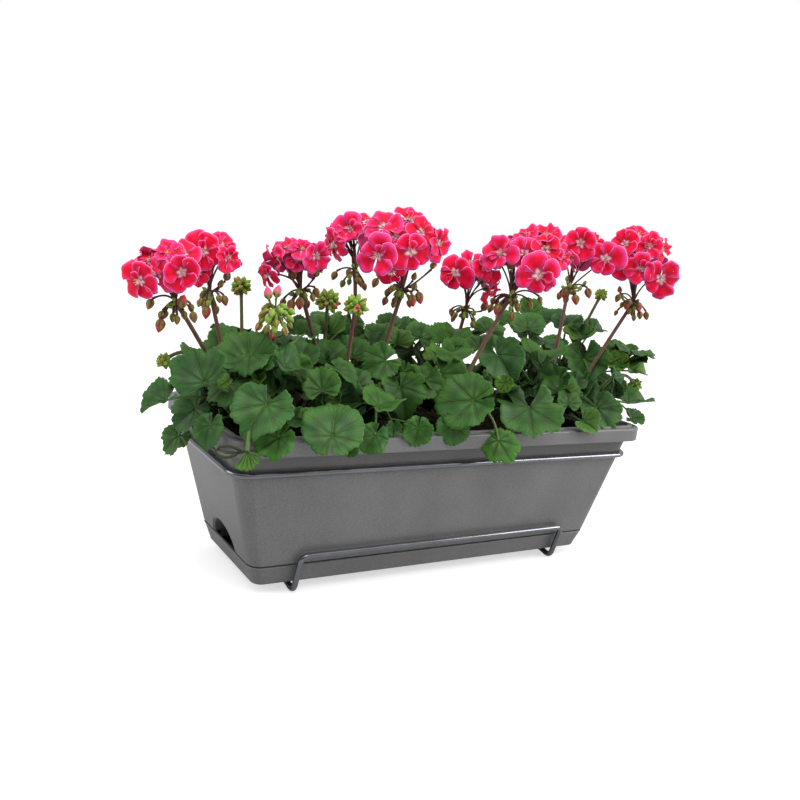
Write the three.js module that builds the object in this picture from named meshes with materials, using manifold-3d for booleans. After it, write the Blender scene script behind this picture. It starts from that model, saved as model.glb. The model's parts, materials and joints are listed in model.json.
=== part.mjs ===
// A planted window box: a tapered plastic trough on a clip-in water tray, held in a wire rack
// with two railing hooks, filled with soil and planted with four zonal geraniums.
// Millimetres, +Z up, and the front faces -Y. The pieces are laid out from the middle of the
// tray's underside, and the finished object has its origin at the bottom centre of its box.

import * as THREE from 'three';
import { mergeVertices } from 'three/addons/utils/BufferGeometryUtils.js';
import Module from 'manifold-3d';

const wasm = await Module();
wasm.setup();

// ---- driving dimensions ----

const GAP = 0.3;
const CUT_PAST = 1;
const MERGE_DISTANCE = 1e-4;

const TRAY_HEIGHT = 19.7;
const TRAY_FOOT = { halfLength: 203.5, halfWidth: 66, radius: 18 };
const TRAY_WALL = 2.5;
const TRAY_EDGE = 2.5;
const TRAY_INSET = 0.1;

const BODY_BOTTOM = 20;
const BODY_FOOT = { halfLength: 210, halfWidth: 71, radius: 20 };
const NECK = { halfLength: 242.5, halfWidth: 88, radius: 22 };
const WALL = 2.6;

const RIM_HEIGHT = 14.5;
const BOX_HEIGHT = 151;
const RIM = { halfLength: 250, halfWidth: 101, radius: 24 };
const RIM_EDGE = 1.5;
const RIM_BAND = 6;
const RIM_GROOVE = 1.2;
const LIP_RISE = 1.6;
const LIP_WIDTH = 5;
const FLANGE_WALL = 2.5;
const FLANGE_TOP = 4;

const CORNER_STEPS = 6;

const ARCH_HALF_WIDTH = 30;
const ARCH_HEIGHT = 22;
const NICHE_DEPTH = 28;
const NICHE_WALL = 2.4;
const NICHE_LIFT = 0.01;
const NICHE_LEAD = 4;
const ARCH_STEPS = 10;

const WELL_X = 105;
const WELL_RADIUS = 17;
const WELL_WALL = 2.5;
const WELL_BOTTOM = 3.2;
const WELL_SIDES = 16;

const SOIL_TOP = 130;
const SOIL_EDGE = 3;

const WIRE_RADIUS = 3;
const WIRE_SIDES = 8;
const RING_HEIGHT = 117;
const BODY_SLOPE_ALLOWANCE = 3.45;

const CRADLE_HALF_LENGTH = 163;
const BAR_Y = -79;
const BAR_Z = 31;
const FOOT_FRONT_Y = -68;
const FOOT_REAR_Y = 74;
const FOOT_Z = -8.5;
const RUNNER_Z = -3.35;
const RUNNER_HALF = 38;
const BEND = 8;
const BEND_STEPS = 4;
const UPRIGHT_TOP = 122;
const UPRIGHT_LEAN = 1;

const HOOK_X = 196;
const HOOK_BOTTOM = 102;
const HOOK_TOP = 168;
const HOOK_REACH = 66;
const HOOK_DROP = 62;
const HOOK_BEND = 12;
const JOGGLE_LOW = 119;
const JOGGLE_HIGH = 133;
const JOGGLE_BEND = 5;

const STEM_RADIUS = 4;
const STEM_SIDES = 7;
const STEM_STEPS = 4;
const STEM_UPRIGHT = 18;
const LOWEST_LEAF = 0.3;
const LEAFY_SHARE = 0.66;
const PETIOLE_RADIUS = 1.3;
const PETIOLE_SIDES = 4;
const PETIOLE_STEPS = 3;
const PETIOLE_BOW = 0.12;
const RIM_CLEARANCE = 8;
const OVER_RIM = 44;
const LEAF_THICKNESS = 1.2;
const LEAF_POINTS = 10;
const LEAF_HUB = 0.28;
const LEAF_NOTCH = 0.5;
const LEAF_CUP = 0.16;
const LEAF_WAVE = 0.5;
const STALK_RADIUS = 2;
const STALK_SIDES = 6;
const STALK_STEPS = 4;
const STALK_BOW = 6;
const HEAD_SIDES = 12;

// ---- materials ----

const finish = (color, roughness, metalness = 0) =>
  new THREE.MeshStandardMaterial({ color, roughness, metalness });

const PLASTIC = finish(0x6f6d6c, 0.5);
const WIRE = finish(0x505256, 0.3, 0.8);
const SOIL = finish(0x33241a, 0.95);
const LEAF = finish(0x3f7436, 0.6);
const STALK = finish(0x7a4a3a, 0.6);
const PETAL = finish(0xd8204e, 0.55);
const BUD = finish(0x6f8f3a, 0.6);

// ---- solids ----

const point = (x, y, z) => new THREE.Vector3(x, y, z);

// A closed solid through rings of equal length: capped at both ends, or joined end to end.
function loft(rings, { closed = false, start = null, end = null } = {}) {
  const sides = rings[0].length;
  const positions = rings.flat();
  const triangles = [];
  const spans = closed ? rings.length : rings.length - 1;
  for (let ring = 0; ring < spans; ring += 1) {
    for (let side = 0; side < sides; side += 1) {
      const next = (side + 1) % sides;
      const above = ((ring + 1) % rings.length) * sides;
      const here = ring * sides;
      triangles.push([here + side, here + next, above + next]);
      triangles.push([here + side, above + next, above + side]);
    }
  }
  if (!closed) {
    const last = (rings.length - 1) * sides;
    const startIndex = positions.push(start ?? middle(rings[0])) - 1;
    const endIndex = positions.push(end ?? middle(rings.at(-1))) - 1;
    for (let side = 0; side < sides; side += 1) {
      const next = (side + 1) % sides;
      triangles.push([startIndex, next, side]);
      triangles.push([endIndex, last + side, last + next]);
    }
  }
  if (signedVolume(positions, triangles) < 0) {
    triangles.forEach((triangle) => triangle.reverse());
  }
  return solidFrom(positions, triangles);
}

function middle(ring) {
  const sum = ring.reduce((total, corner) => total.add(corner), point(0, 0, 0));
  return sum.divideScalar(ring.length);
}

function signedVolume(positions, triangles) {
  const cross = point(0, 0, 0);
  return triangles.reduce((total, [a, b, c]) => {
    cross.crossVectors(positions[b], positions[c]);
    return total + positions[a].dot(cross);
  }, 0);
}

function solidFrom(positions, triangles) {
  const vertProperties = new Float32Array(positions.flatMap((corner) => corner.toArray()));
  const triVerts = new Uint32Array(triangles.flat());
  return new wasm.Manifold(new wasm.Mesh({ numProp: 3, vertProperties, triVerts }));
}

function solidFromGeometry(source) {
  const bare = new THREE.BufferGeometry();
  bare.setAttribute('position', source.getAttribute('position'));
  if (source.index) {
    bare.setIndex(source.index);
  }
  const merged = mergeVertices(bare, MERGE_DISTANCE);
  const vertProperties = new Float32Array(merged.getAttribute('position').array);
  const triVerts = new Uint32Array(merged.index.array);
  return new wasm.Manifold(new wasm.Mesh({ numProp: 3, vertProperties, triVerts }));
}

// A round rod that follows a curve.
function rod(curve, radius, sides, steps) {
  const section = new THREE.Shape();
  for (let side = 0; side < sides; side += 1) {
    const angle = (side / sides) * 2 * Math.PI;
    const x = radius * Math.cos(angle);
    const y = radius * Math.sin(angle);
    if (side === 0) {
      section.moveTo(x, y);
    } else {
      section.lineTo(x, y);
    }
  }
  const options = { steps, extrudePath: curve, bevelEnabled: false, curveSegments: 1 };
  return solidFromGeometry(new THREE.ExtrudeGeometry(section, options));
}

// Points along straight runs whose corners are rounded.
function bentPath(corners, bend) {
  const bends = corners.slice(1, -1).flatMap((corner, index) => {
    const arrive = corner.clone().sub(corners[index]).normalize();
    const leave = corners[index + 2].clone().sub(corner).normalize();
    const start = corner.clone().addScaledVector(arrive, -bend);
    const end = corner.clone().addScaledVector(leave, bend);
    return new THREE.QuadraticBezierCurve3(start, corner, end).getPoints(BEND_STEPS);
  });
  return [corners[0], ...bends, corners.at(-1)];
}

// A bent wire that starts square to X: one ring of points at each knot, square to the bend.
function wire(knots, radius) {
  const rings = knots.map((knot, index) => {
    const before = knots[Math.max(index - 1, 0)];
    const after = knots[Math.min(index + 1, knots.length - 1)];
    return { knot, tangent: after.clone().sub(before).normalize() };
  });
  let side = point(1, 0, 0);
  return loft(rings.map(({ knot, tangent }) => {
    side = side.clone().addScaledVector(tangent, -side.dot(tangent)).normalize();
    const up = tangent.clone().cross(side);
    return circle(knot, side, up, radius, WIRE_SIDES);
  }));
}

function circle(centre, across, along, radius, sides) {
  return Array.from({ length: sides }, (_, index) => {
    const angle = (index / sides) * 2 * Math.PI;
    return centre.clone()
      .addScaledVector(across, radius * Math.cos(angle))
      .addScaledVector(along, radius * Math.sin(angle));
  });
}

// ---- the plan outline of the box ----

// A rounded rectangle at one height; grow moves every side outwards.
function outline({ halfLength, halfWidth, radius }, z, grow = 0) {
  const corner = Math.max(radius + grow, 1);
  const alongX = halfLength + grow - corner;
  const alongY = halfWidth + grow - corner;
  const centres = [[alongX, -alongY], [alongX, alongY], [-alongX, alongY], [-alongX, -alongY]];
  return centres.flatMap(([x, y], index) =>
    Array.from({ length: CORNER_STEPS + 1 }, (_, step) => {
      const angle = (index - 1 + step / CORNER_STEPS) * (Math.PI / 2);
      return point(x + corner * Math.cos(angle), y + corner * Math.sin(angle), z);
    }));
}

// The body's outside section at a height, between its foot and its neck.
function bodySection(z) {
  const share = (z - BODY_BOTTOM) / (BOX_HEIGHT - RIM_HEIGHT - BODY_BOTTOM);
  return {
    halfLength: THREE.MathUtils.lerp(BODY_FOOT.halfLength, NECK.halfLength, share),
    halfWidth: THREE.MathUtils.lerp(BODY_FOOT.halfWidth, NECK.halfWidth, share),
    radius: THREE.MathUtils.lerp(BODY_FOOT.radius, NECK.radius, share),
  };
}

// ---- trough, tray and soil ----

const RIM_BOTTOM = BOX_HEIGHT - RIM_HEIGHT;
const FLOOR_TOP = BODY_BOTTOM + WALL;

// The hollow under the rim's turned-down flange.
function flangeHollow() {
  const top = BOX_HEIGHT - FLANGE_TOP;
  return [
    outline(NECK, top, WALL),
    outline(RIM, top, -FLANGE_WALL),
    outline(RIM, RIM_BOTTOM, -FLANGE_WALL),
  ];
}

// The shell of the trough. Where grow thickens it, the groove and the flange are filled in.
function troughShell(grow = 0) {
  const inner = RIM_BAND + RIM_GROOVE;
  const groove = grow > 0 ? 0 : RIM_GROOVE;
  const hollow = grow > 0 ? [] : flangeHollow();
  const rings = [
    outline(BODY_FOOT, BODY_BOTTOM - grow, grow),
    outline(NECK, RIM_BOTTOM - grow, grow),
    ...hollow,
    outline(RIM, RIM_BOTTOM - grow, grow),
    outline(RIM, BOX_HEIGHT - RIM_EDGE, grow),
    outline(RIM, BOX_HEIGHT + grow, grow - RIM_EDGE),
    outline(RIM, BOX_HEIGHT + grow, grow - RIM_BAND),
    outline(RIM, BOX_HEIGHT + grow - groove, grow - RIM_BAND - RIM_GROOVE / 2),
    outline(RIM, BOX_HEIGHT + grow + LIP_RISE, grow - inner),
    outline(RIM, BOX_HEIGHT + grow + LIP_RISE, -grow - inner - LIP_WIDTH),
    outline(bodySection(RIM_BOTTOM - WALL), RIM_BOTTOM - WALL, -WALL - grow),
    outline(bodySection(FLOOR_TOP), FLOOR_TOP + grow, -WALL - grow),
  ];
  return loft(rings);
}

function archPrism(halfWidth, height, fromX, toX, baseZ) {
  const profile = Array.from({ length: ARCH_STEPS + 1 }, (_, step) => {
    const angle = (step / ARCH_STEPS) * Math.PI;
    return [halfWidth * Math.cos(angle), height * Math.sin(angle)];
  });
  const lower = [[-halfWidth, baseZ - BODY_BOTTOM], [halfWidth, baseZ - BODY_BOTTOM]];
  const section = (x) => [...profile, ...lower].map(([y, rise]) => point(x, y, BODY_BOTTOM + rise));
  return loft([section(fromX), section(toX)]);
}

// The niche behind the filling arch: its housing, or with a negative thickness its hollow.
function nicheBlock(thickness) {
  const back = -BODY_FOOT.halfLength + NICHE_DEPTH + thickness;
  const base = BODY_BOTTOM + (thickness > 0 ? NICHE_LIFT : -CUT_PAST);
  const front = thickness > 0 ? -BODY_FOOT.halfLength - NICHE_LEAD : -RIM.halfLength;
  return archPrism(ARCH_HALF_WIDTH + thickness, ARCH_HEIGHT + thickness, front, back, base);
}

function verticalCylinder(x, y, radius, low, high) {
  const ring = (z) => circle(point(x, y, z), point(1, 0, 0), point(0, 1, 0), radius, WELL_SIDES);
  return loft([ring(low), ring(high)]);
}

function buildTrough() {
  const outside = loft([outline(BODY_FOOT, BODY_BOTTOM), outline(NECK, RIM_BOTTOM)]);
  const housing = nicheBlock(NICHE_WALL).intersect(outside);
  let trough = troughShell().add(housing).subtract(nicheBlock(0));
  for (const x of [-WELL_X, WELL_X]) {
    const hollow = WELL_RADIUS - WELL_WALL;
    trough = trough.add(verticalCylinder(x, 0, WELL_RADIUS, WELL_BOTTOM, FLOOR_TOP));
    const low = WELL_BOTTOM + WELL_WALL;
    trough = trough.subtract(verticalCylinder(x, 0, hollow, low, FLOOR_TOP + CUT_PAST));
  }
  return trough;
}

function buildTray() {
  return loft([
    outline(TRAY_FOOT, 0, -TRAY_EDGE),
    outline(TRAY_FOOT, TRAY_EDGE),
    outline(BODY_FOOT, TRAY_HEIGHT, -TRAY_INSET),
    outline(BODY_FOOT, TRAY_HEIGHT, -TRAY_INSET - TRAY_WALL),
    outline(TRAY_FOOT, TRAY_WALL, -TRAY_WALL),
  ]);
}

function buildSoil() {
  const inset = -WALL - GAP;
  const low = FLOOR_TOP + GAP;
  let soil = loft([
    outline(bodySection(low), low, inset),
    outline(bodySection(SOIL_TOP - SOIL_EDGE), SOIL_TOP - SOIL_EDGE, inset),
    outline(bodySection(SOIL_TOP), SOIL_TOP, inset - SOIL_EDGE),
  ]);
  soil = soil.subtract(nicheBlock(NICHE_WALL + GAP));
  for (const x of [-WELL_X, WELL_X]) {
    const radius = WELL_RADIUS - WELL_WALL - GAP;
    soil = soil.add(verticalCylinder(x, 0, radius, WELL_BOTTOM + WELL_WALL + GAP, low + CUT_PAST));
  }
  return soil;
}

// ---- wire rack ----

// The closed ring that grips the body below the rim.
function buildRing(extra = 0) {
  const path = outline(bodySection(RING_HEIGHT), RING_HEIGHT, BODY_SLOPE_ALLOWANCE);
  const rings = path.map((knot, index) => {
    const before = path[(index + path.length - 1) % path.length];
    const after = path[(index + 1) % path.length];
    const tangent = after.clone().sub(before).normalize();
    const outwards = tangent.clone().cross(point(0, 0, 1));
    return circle(knot, outwards, point(0, 0, 1), WIRE_RADIUS + extra, WIRE_SIDES);
  });
  return loft(rings, { closed: true });
}

const RING_REAR_Y = bodySection(RING_HEIGHT).halfWidth + BODY_SLOPE_ALLOWANCE;
const BEHIND_RING_Y = RING_REAR_Y + 2 * WIRE_RADIUS + GAP;
const UPRIGHT_TOP_Y = BEHIND_RING_Y + UPRIGHT_LEAN;

// One wire: up both rear faces, under the tray twice, and across the front as a bar.
function buildCradle(extra = 0) {
  const half = [
    [UPRIGHT_TOP_Y, UPRIGHT_TOP],
    [FOOT_REAR_Y, FOOT_Z],
    [RUNNER_HALF, RUNNER_Z],
    [-RUNNER_HALF, RUNNER_Z],
    [FOOT_FRONT_Y, FOOT_Z],
    [BAR_Y, BAR_Z],
  ];
  const left = half.map(([y, z]) => point(-CRADLE_HALF_LENGTH, y, z));
  const right = half.map(([y, z]) => point(CRADLE_HALF_LENGTH, y, z)).reverse();
  return wire(bentPath([...left, ...right], BEND), WIRE_RADIUS + extra);
}

// A hook is welded to the outside of the ring, steps out behind the rim, and goes over the
// top of a railing.
function buildHook(x, extra = 0) {
  const outY = RIM.halfWidth + WIRE_RADIUS + 2 * GAP;
  const step = [
    point(x, BEHIND_RING_Y, HOOK_BOTTOM),
    point(x, BEHIND_RING_Y, JOGGLE_LOW),
    point(x, outY, JOGGLE_HIGH),
    point(x, outY, JOGGLE_HIGH + 2 * JOGGLE_BEND),
  ];
  const crook = [
    point(x, outY, JOGGLE_HIGH + 2 * JOGGLE_BEND),
    point(x, outY, HOOK_TOP),
    point(x, outY + HOOK_REACH, HOOK_TOP),
    point(x, outY + HOOK_REACH, HOOK_TOP - HOOK_DROP),
  ];
  const knots = [...bentPath(step, JOGGLE_BEND), ...bentPath(crook, HOOK_BEND).slice(1)];
  return wire(knots, WIRE_RADIUS + extra);
}

// ---- plants ----

// A leaf blade is given by its middle, its radius, the way its face looks (azimuth from the
// front towards +X, and elevation) and the turn of its tip away from straight downhill.
const leaf = (x, y, z, radius, azimuth, elevation, turn = 0) =>
  ({ x, y, z, radius, azimuth, elevation, turn });

// Shoots: foot on the soil, tip of the woody stem, and the leaves from the lowest up.
const SHOOTS = [
  { name: 'plant_1_shoot_front', foot: [-192, -12], tip: [-232, -58, 180], leaves: [
    leaf(-245, -114, 141, 11, -45, 10), leaf(-260, -72, 157, 13, -60, 35),
    leaf(-216, -110, 151, 17, -30, 25), leaf(-222, -98, 180, 28, -30, 60, 60),
    leaf(-262, -47, 197, 27, -50, 60, 20)] },
  { name: 'plant_1_shoot_left', foot: [-197, 2], tip: [-240, -2, 182], leaves: [
    leaf(-266, -12, 131, 16, -80, 50), leaf(-258, -20, 162, 21, -60, 42),
    leaf(-287, -50, 177, 20, -70, 60, -30), leaf(-287, 32, 170, 22, -100, 50),
    leaf(-226, 14, 221, 22, -40, 60)] },
  { name: 'plant_1_shoot_rear', foot: [-186, 14], tip: [-212, 60, 185], leaves: [
    leaf(-240, 62, 184, 24, 205, 55), leaf(-190, 80, 179, 26, 180, 62),
    leaf(-170, 46, 224, 24, 160, 72)] },
  { name: 'plant_1_shoot_middle', foot: [-180, -6], tip: [-190, -28, 200], leaves: [
    leaf(-190, -78, 162, 20, -20, 45), leaf(-170, -32, 199, 19, 0, 38, 20),
    leaf(-219, -36, 219, 28, -34, 62)] },
  { name: 'plant_2_shoot_left', foot: [-98, -10], tip: [-142, -66, 172], leaves: [
    leaf(-163, -114, 166, 28, -30, 42, 180), leaf(-154, -72, 195, 18, -30, 60)] },
  { name: 'plant_2_shoot_front', foot: [-84, -14], tip: [-84, -60, 178], leaves: [
    leaf(-60, -92, 160, 16, -20, 25), leaf(-103, -97, 180, 22, -10, 76),
    leaf(-112, -58, 198, 16, -50, 50), leaf(-80, -44, 211, 20, 0, 44)] },
  { name: 'plant_2_shoot_rear', foot: [-92, 12], tip: [-112, 62, 188], leaves: [
    leaf(-124, 82, 174, 26, 180, 60), leaf(-146, 58, 205, 24, 190, 60),
    leaf(-128, 14, 218, 22, -10, 70)] },
  { name: 'plant_2_shoot_right', foot: [-76, 8], tip: [-50, 56, 192], leaves: [
    leaf(-46, 82, 176, 27, 170, 60), leaf(-62, 58, 214, 25, 190, 66),
    leaf(-38, 18, 226, 22, 20, 72)] },
  { name: 'plant_3_shoot_left', foot: [36, -10], tip: [0, -62, 182], leaves: [
    leaf(31, -114, 147, 20, -30, 52), leaf(-22, -66, 162, 20, -10, 55),
    leaf(-10, -102, 186, 31, -60, 35, 150), leaf(1, -42, 215, 25, -20, 76)] },
  { name: 'plant_3_shoot_front', foot: [52, -12], tip: [76, -52, 180], leaves: [
    leaf(84, -92, 169, 34, -20, 66, 90), leaf(68, -46, 214, 20, 10, 30),
    leaf(40, 10, 228, 21, -20, 62)] },
  { name: 'plant_3_shoot_rear', foot: [46, 12], tip: [52, 62, 190], leaves: [
    leaf(44, 82, 175, 26, 188, 62), leaf(18, 58, 208, 24, 180, 60),
    leaf(84, 50, 226, 23, 150, 70)] },
  { name: 'plant_4_shoot_left', foot: [168, -10], tip: [146, -56, 176], leaves: [
    leaf(134, -92, 160, 22, 10, 50), leaf(145, -62, 190, 19, 20, 34),
    leaf(122, -8, 222, 23, 0, 72), leaf(160, -26, 214, 21, 30, 82)] },
  { name: 'plant_4_shoot_front', foot: [184, -12], tip: [226, -46, 172], leaves: [
    leaf(254, -78, 159, 12, 30, 80), leaf(201, -80, 168, 25, 10, 62),
    leaf(268, -20, 178, 18, 60, 62), leaf(296, -42, 162, 22, 40, 76),
    leaf(226, -8, 208, 24, 20, 62)] },
  { name: 'plant_4_shoot_right', foot: [192, 6], tip: [238, 40, 196], leaves: [
    leaf(288, 28, 184, 22, 110, 55), leaf(250, 66, 188, 24, 155, 55),
    leaf(306, -16, 218, 18, 60, 84), leaf(262, 20, 246, 15, 40, 60),
    leaf(232, 40, 252, 19, 10, 55)] },
  { name: 'plant_4_shoot_rear', foot: [176, 14], tip: [156, 62, 190], leaves: [
    leaf(208, 80, 176, 26, 172, 60), leaf(120, 82, 176, 26, 182, 60),
    leaf(176, 62, 214, 24, 180, 64), leaf(186, 18, 230, 22, 20, 72)] },
];

// An umbel is given by its middle, its radius and half height, the hub that its flower stalks
// spring from, and the shoot and the share along that shoot's stem that carry its main stalk.
const umbel = (at, radius, rise, hub, shoot, share) => ({ at, radius, rise, hub, shoot, share });

const FLOWER_HEADS = [
  umbel([-297, -25, 287], 33, 26, [-282, -25, 259], 1, 0.45),
  umbel([-236, 22, 303], 29, 20, [-236, 20, 264], 1, 0.6),
  umbel([-162, 5, 302], 32, 22, [-150, 5, 271], 6, 0.45),
  umbel([-84, 47, 328], 25, 27, [-70, 46, 292], 7, 0.7),
  umbel([-61, -30, 330], 45, 37, [-56, -30, 283], 5, 0.6),
  umbel([58, 20, 299], 34, 25, [61, 20, 261], 10, 0.5),
  umbel([85, -35, 323], 41, 38, [77, -35, 284], 8, 0.75),
  umbel([203, 4, 338], 30, 28, [192, 2, 295], 11, 0.5),
  umbel([270, -27, 338], 44, 40, [274, -25, 287], 12, 0.5),
];

const BUD_CLUSTERS = [
  umbel([-194, 50, 268], 9, 9, [-194, 50, 258], 2, 0.5),
  umbel([-194, -40, 249], 18, 14, [-193, -40, 236], 3, 0.5),
  umbel([-116, -46, 266], 13, 11, [-116, -46, 256], 4, 0.5),
  umbel([-112, 20, 262], 11, 9, [-112, 20, 253], 6, 0.7),
  umbel([264, 20, 290], 7, 8, [262, 20, 281], 13, 0.8),
  umbel([318, -10, 182], 8, 8, [313, -10, 174], 12, 0.9),
  umbel([-282, 2, 204], 9, 8, [-280, 2, 196], 1, 0.75),
];

// Each ring of an umbel's outside: how far out, and how high, as shares of radius and half height.
const HEAD_PROFILE = [[0.42, 0.92], [0.78, 0.66], [1, 0.1], [0.86, -0.34], [0.42, -0.62]];
const HEAD_LUMPS = 5;
const HEAD_LUMP_DEPTH = 0.06;
const HUB_RADIUS = 3;

function direction(azimuth, elevation) {
  const turn = THREE.MathUtils.degToRad(azimuth);
  const lift = THREE.MathUtils.degToRad(elevation);
  return point(Math.sin(turn) * Math.cos(lift), -Math.cos(turn) * Math.cos(lift), Math.sin(lift));
}

// The blade's own axes: its normal, the way its tip points, and the way across.
function bladeFrame({ azimuth, elevation, turn }) {
  const normal = direction(azimuth, elevation);
  const downhill = direction(azimuth, elevation - 90);
  const tip = downhill.applyAxisAngle(normal, THREE.MathUtils.degToRad(turn));
  return { normal, tip, across: normal.clone().cross(tip) };
}

function bladePoint(blade, frame, along, across, height) {
  return point(blade.x, blade.y, blade.z)
    .addScaledVector(frame.tip, along * blade.radius)
    .addScaledVector(frame.across, across * blade.radius)
    .addScaledVector(frame.normal, height);
}

// A kidney-shaped, slightly cupped blade with a notch where its stalk joins.
function leafBlade(blade, extra) {
  const frame = bladeFrame(blade);
  const half = LEAF_THICKNESS / 2 + extra;
  const reach = 1 + extra / blade.radius;
  const ring = (side) => Array.from({ length: LEAF_POINTS }, (_, index) => {
    const angle = (index / LEAF_POINTS) * 2 * Math.PI;
    const notched = index === LEAF_POINTS / 2 ? LEAF_NOTCH : 1;
    const along = Math.cos(angle) * notched * reach;
    const across = Math.sin(angle) * reach;
    const wave = index % 2 === 0 ? LEAF_WAVE : 1;
    return bladePoint(blade, frame, along, across, LEAF_CUP * blade.radius * wave + side * half);
  });
  const hub = (side) => bladePoint(blade, frame, -LEAF_HUB, 0, side * half);
  return loft([ring(-1), ring(1)], { start: hub(-1), end: hub(1) });
}

function shootCurve({ foot, tip }) {
  const base = point(foot[0], foot[1], SOIL_TOP + GAP);
  const rise = point(foot[0], foot[1], SOIL_TOP + STEM_UPRIGHT);
  return new THREE.QuadraticBezierCurve3(base, rise, point(...tip));
}

function petiole(shoot, blade, share, extra) {
  const from = shootCurve(shoot).getPoint(share);
  const hub = bladePoint(blade, bladeFrame(blade), -LEAF_HUB, 0, 0);
  const bow = from.clone().lerp(hub, 0.5).add(point(0, 0, from.distanceTo(hub) * PETIOLE_BOW));
  if (hub.z < BOX_HEIGHT + RIM_CLEARANCE) {
    bow.lerp(hub, 0.5);
    bow.z = BOX_HEIGHT + OVER_RIM;
  }
  const curve = new THREE.QuadraticBezierCurve3(from, bow, hub);
  return rod(curve, PETIOLE_RADIUS + extra, PETIOLE_SIDES, PETIOLE_STEPS);
}

function buildShoot(shoot, extra = 0) {
  const stem = rod(shootCurve(shoot), STEM_RADIUS + extra, STEM_SIDES, STEM_STEPS);
  const pieces = [stem];
  shoot.leaves.forEach((blade, index) => {
    const share = LOWEST_LEAF + (LEAFY_SHARE * (index + 1)) / shoot.leaves.length;
    pieces.push(petiole(shoot, blade, share, extra));
    pieces.push(leafBlade(blade, extra));
  });
  return wasm.Manifold.union(pieces);
}

function buildUmbel({ at, radius, rise, hub }, extra = 0) {
  const centre = point(...at);
  const foot = point(...hub);
  const rings = HEAD_PROFILE.map(([out, height], level) =>
    Array.from({ length: HEAD_SIDES }, (_, index) => {
      const angle = (index / HEAD_SIDES) * 2 * Math.PI;
      const lump = 1 + HEAD_LUMP_DEPTH * Math.sin(HEAD_LUMPS * angle + level * 2);
      const reach = out * radius * lump + extra;
      return centre.clone().add(point(reach * Math.cos(angle), reach * Math.sin(angle), height * rise));
    }));
  const sideways = point(1, 0, 0);
  rings.push(circle(foot, sideways, point(0, 1, 0), HUB_RADIUS + extra, HEAD_SIDES));
  const top = centre.clone().add(point(0, 0, rise + extra));
  const bottom = foot.clone().add(point(0, 0, -extra));
  return loft(rings, { start: top, end: bottom });
}

// A flower stalk stands on its shoot's stem and ends just under the hub of its umbel.
function buildStalk({ hub, shoot, share }, extra = 0) {
  const top = point(...hub).add(point(0, 0, -GAP + extra));
  const root = shootCurve(SHOOTS[shoot]).getPoint(share);
  const low = root.clone().lerp(top, 0.5);
  const bow = point(low.x, low.y, low.z + STALK_BOW);
  root.addScaledVector(root.clone().sub(bow).normalize(), extra);
  const curve = new THREE.QuadraticBezierCurve3(root, bow, top);
  return rod(curve, STALK_RADIUS + extra, STALK_SIDES, STALK_STEPS);
}

// ---- assembly ----

const group = new THREE.Group();

function addMesh(name, solid, material) {
  const { numProp, vertProperties, triVerts } = solid.getMesh();
  const geometry = new THREE.BufferGeometry();
  geometry.setAttribute('position', new THREE.BufferAttribute(vertProperties, numProp));
  geometry.setIndex(new THREE.BufferAttribute(triVerts, 1));
  geometry.computeVertexNormals();
  const mesh = new THREE.Mesh(geometry, material);
  mesh.name = name;
  group.add(mesh);
}

function largestBody(solid) {
  const bodies = solid.decompose();
  bodies.sort((first, second) => second.volume() - first.volume());
  return bodies[0];
}

addMesh('trough_body', buildTrough(), PLASTIC);
addMesh('water_tray', buildTray(), PLASTIC);
addMesh('potting_soil', buildSoil(), SOIL);
addMesh('rack_ring', buildRing(), WIRE);
addMesh('rack_cradle', buildCradle(), WIRE);
addMesh('rack_hook_left', buildHook(-HOOK_X), WIRE);
addMesh('rack_hook_right', buildHook(HOOK_X), WIRE);

// Each plant piece is cut clear of the pieces that are already there.
const cutters = [
  troughShell(GAP),
  buildRing(GAP),
  buildHook(-HOOK_X, GAP),
  buildHook(HOOK_X, GAP),
];

function addPlantPiece(name, solid, cutter, material) {
  const clear = cutters.reduce((rest, other) => rest.subtract(other), solid);
  addMesh(name, largestBody(clear), material);
  cutters.push(cutter);
}

function addUmbels(umbels, label, material) {
  umbels.forEach((head, index) => {
    addPlantPiece(`${label}_${index + 1}`, buildUmbel(head), buildUmbel(head, GAP), material);
  });
}

function addStalks(umbels, label) {
  umbels.forEach((head, index) => {
    addPlantPiece(`${label}_${index + 1}_stalk`, buildStalk(head), buildStalk(head, GAP), STALK);
  });
}

addUmbels(FLOWER_HEADS, 'flower_head', PETAL);
addUmbels(BUD_CLUSTERS, 'bud_cluster', BUD);
addStalks(FLOWER_HEADS, 'flower_head');
addStalks(BUD_CLUSTERS, 'bud_cluster');
for (const shoot of SHOOTS) {
  addPlantPiece(shoot.name, buildShoot(shoot), buildShoot(shoot, GAP), LEAF);
}

// The origin goes under the middle of the whole object, level with the low bends of the wire
// that it stands on.
const extent = new THREE.Box3().setFromObject(group);
const centre = extent.getCenter(point(0, 0, 0));
group.position.set(-centre.x, -centre.y, -extent.min.z);

const plantedBox = new THREE.Group();
plantedBox.add(group);

export default plantedBox;
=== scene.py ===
"""A planted window box: a tapered plastic trough on its water tray, in a wire railing rack,
with four zonal geraniums in bloom. The front faces -Y. Layout numbers are millimetres from
the middle of the tray's underside; meshes are metres in the CAD frame."""

import json
import math
import random

import bpy
import numpy as np
from bpy.props import FloatProperty, FloatVectorProperty, IntProperty, PointerProperty
from mathutils import Matrix, Vector

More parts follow.
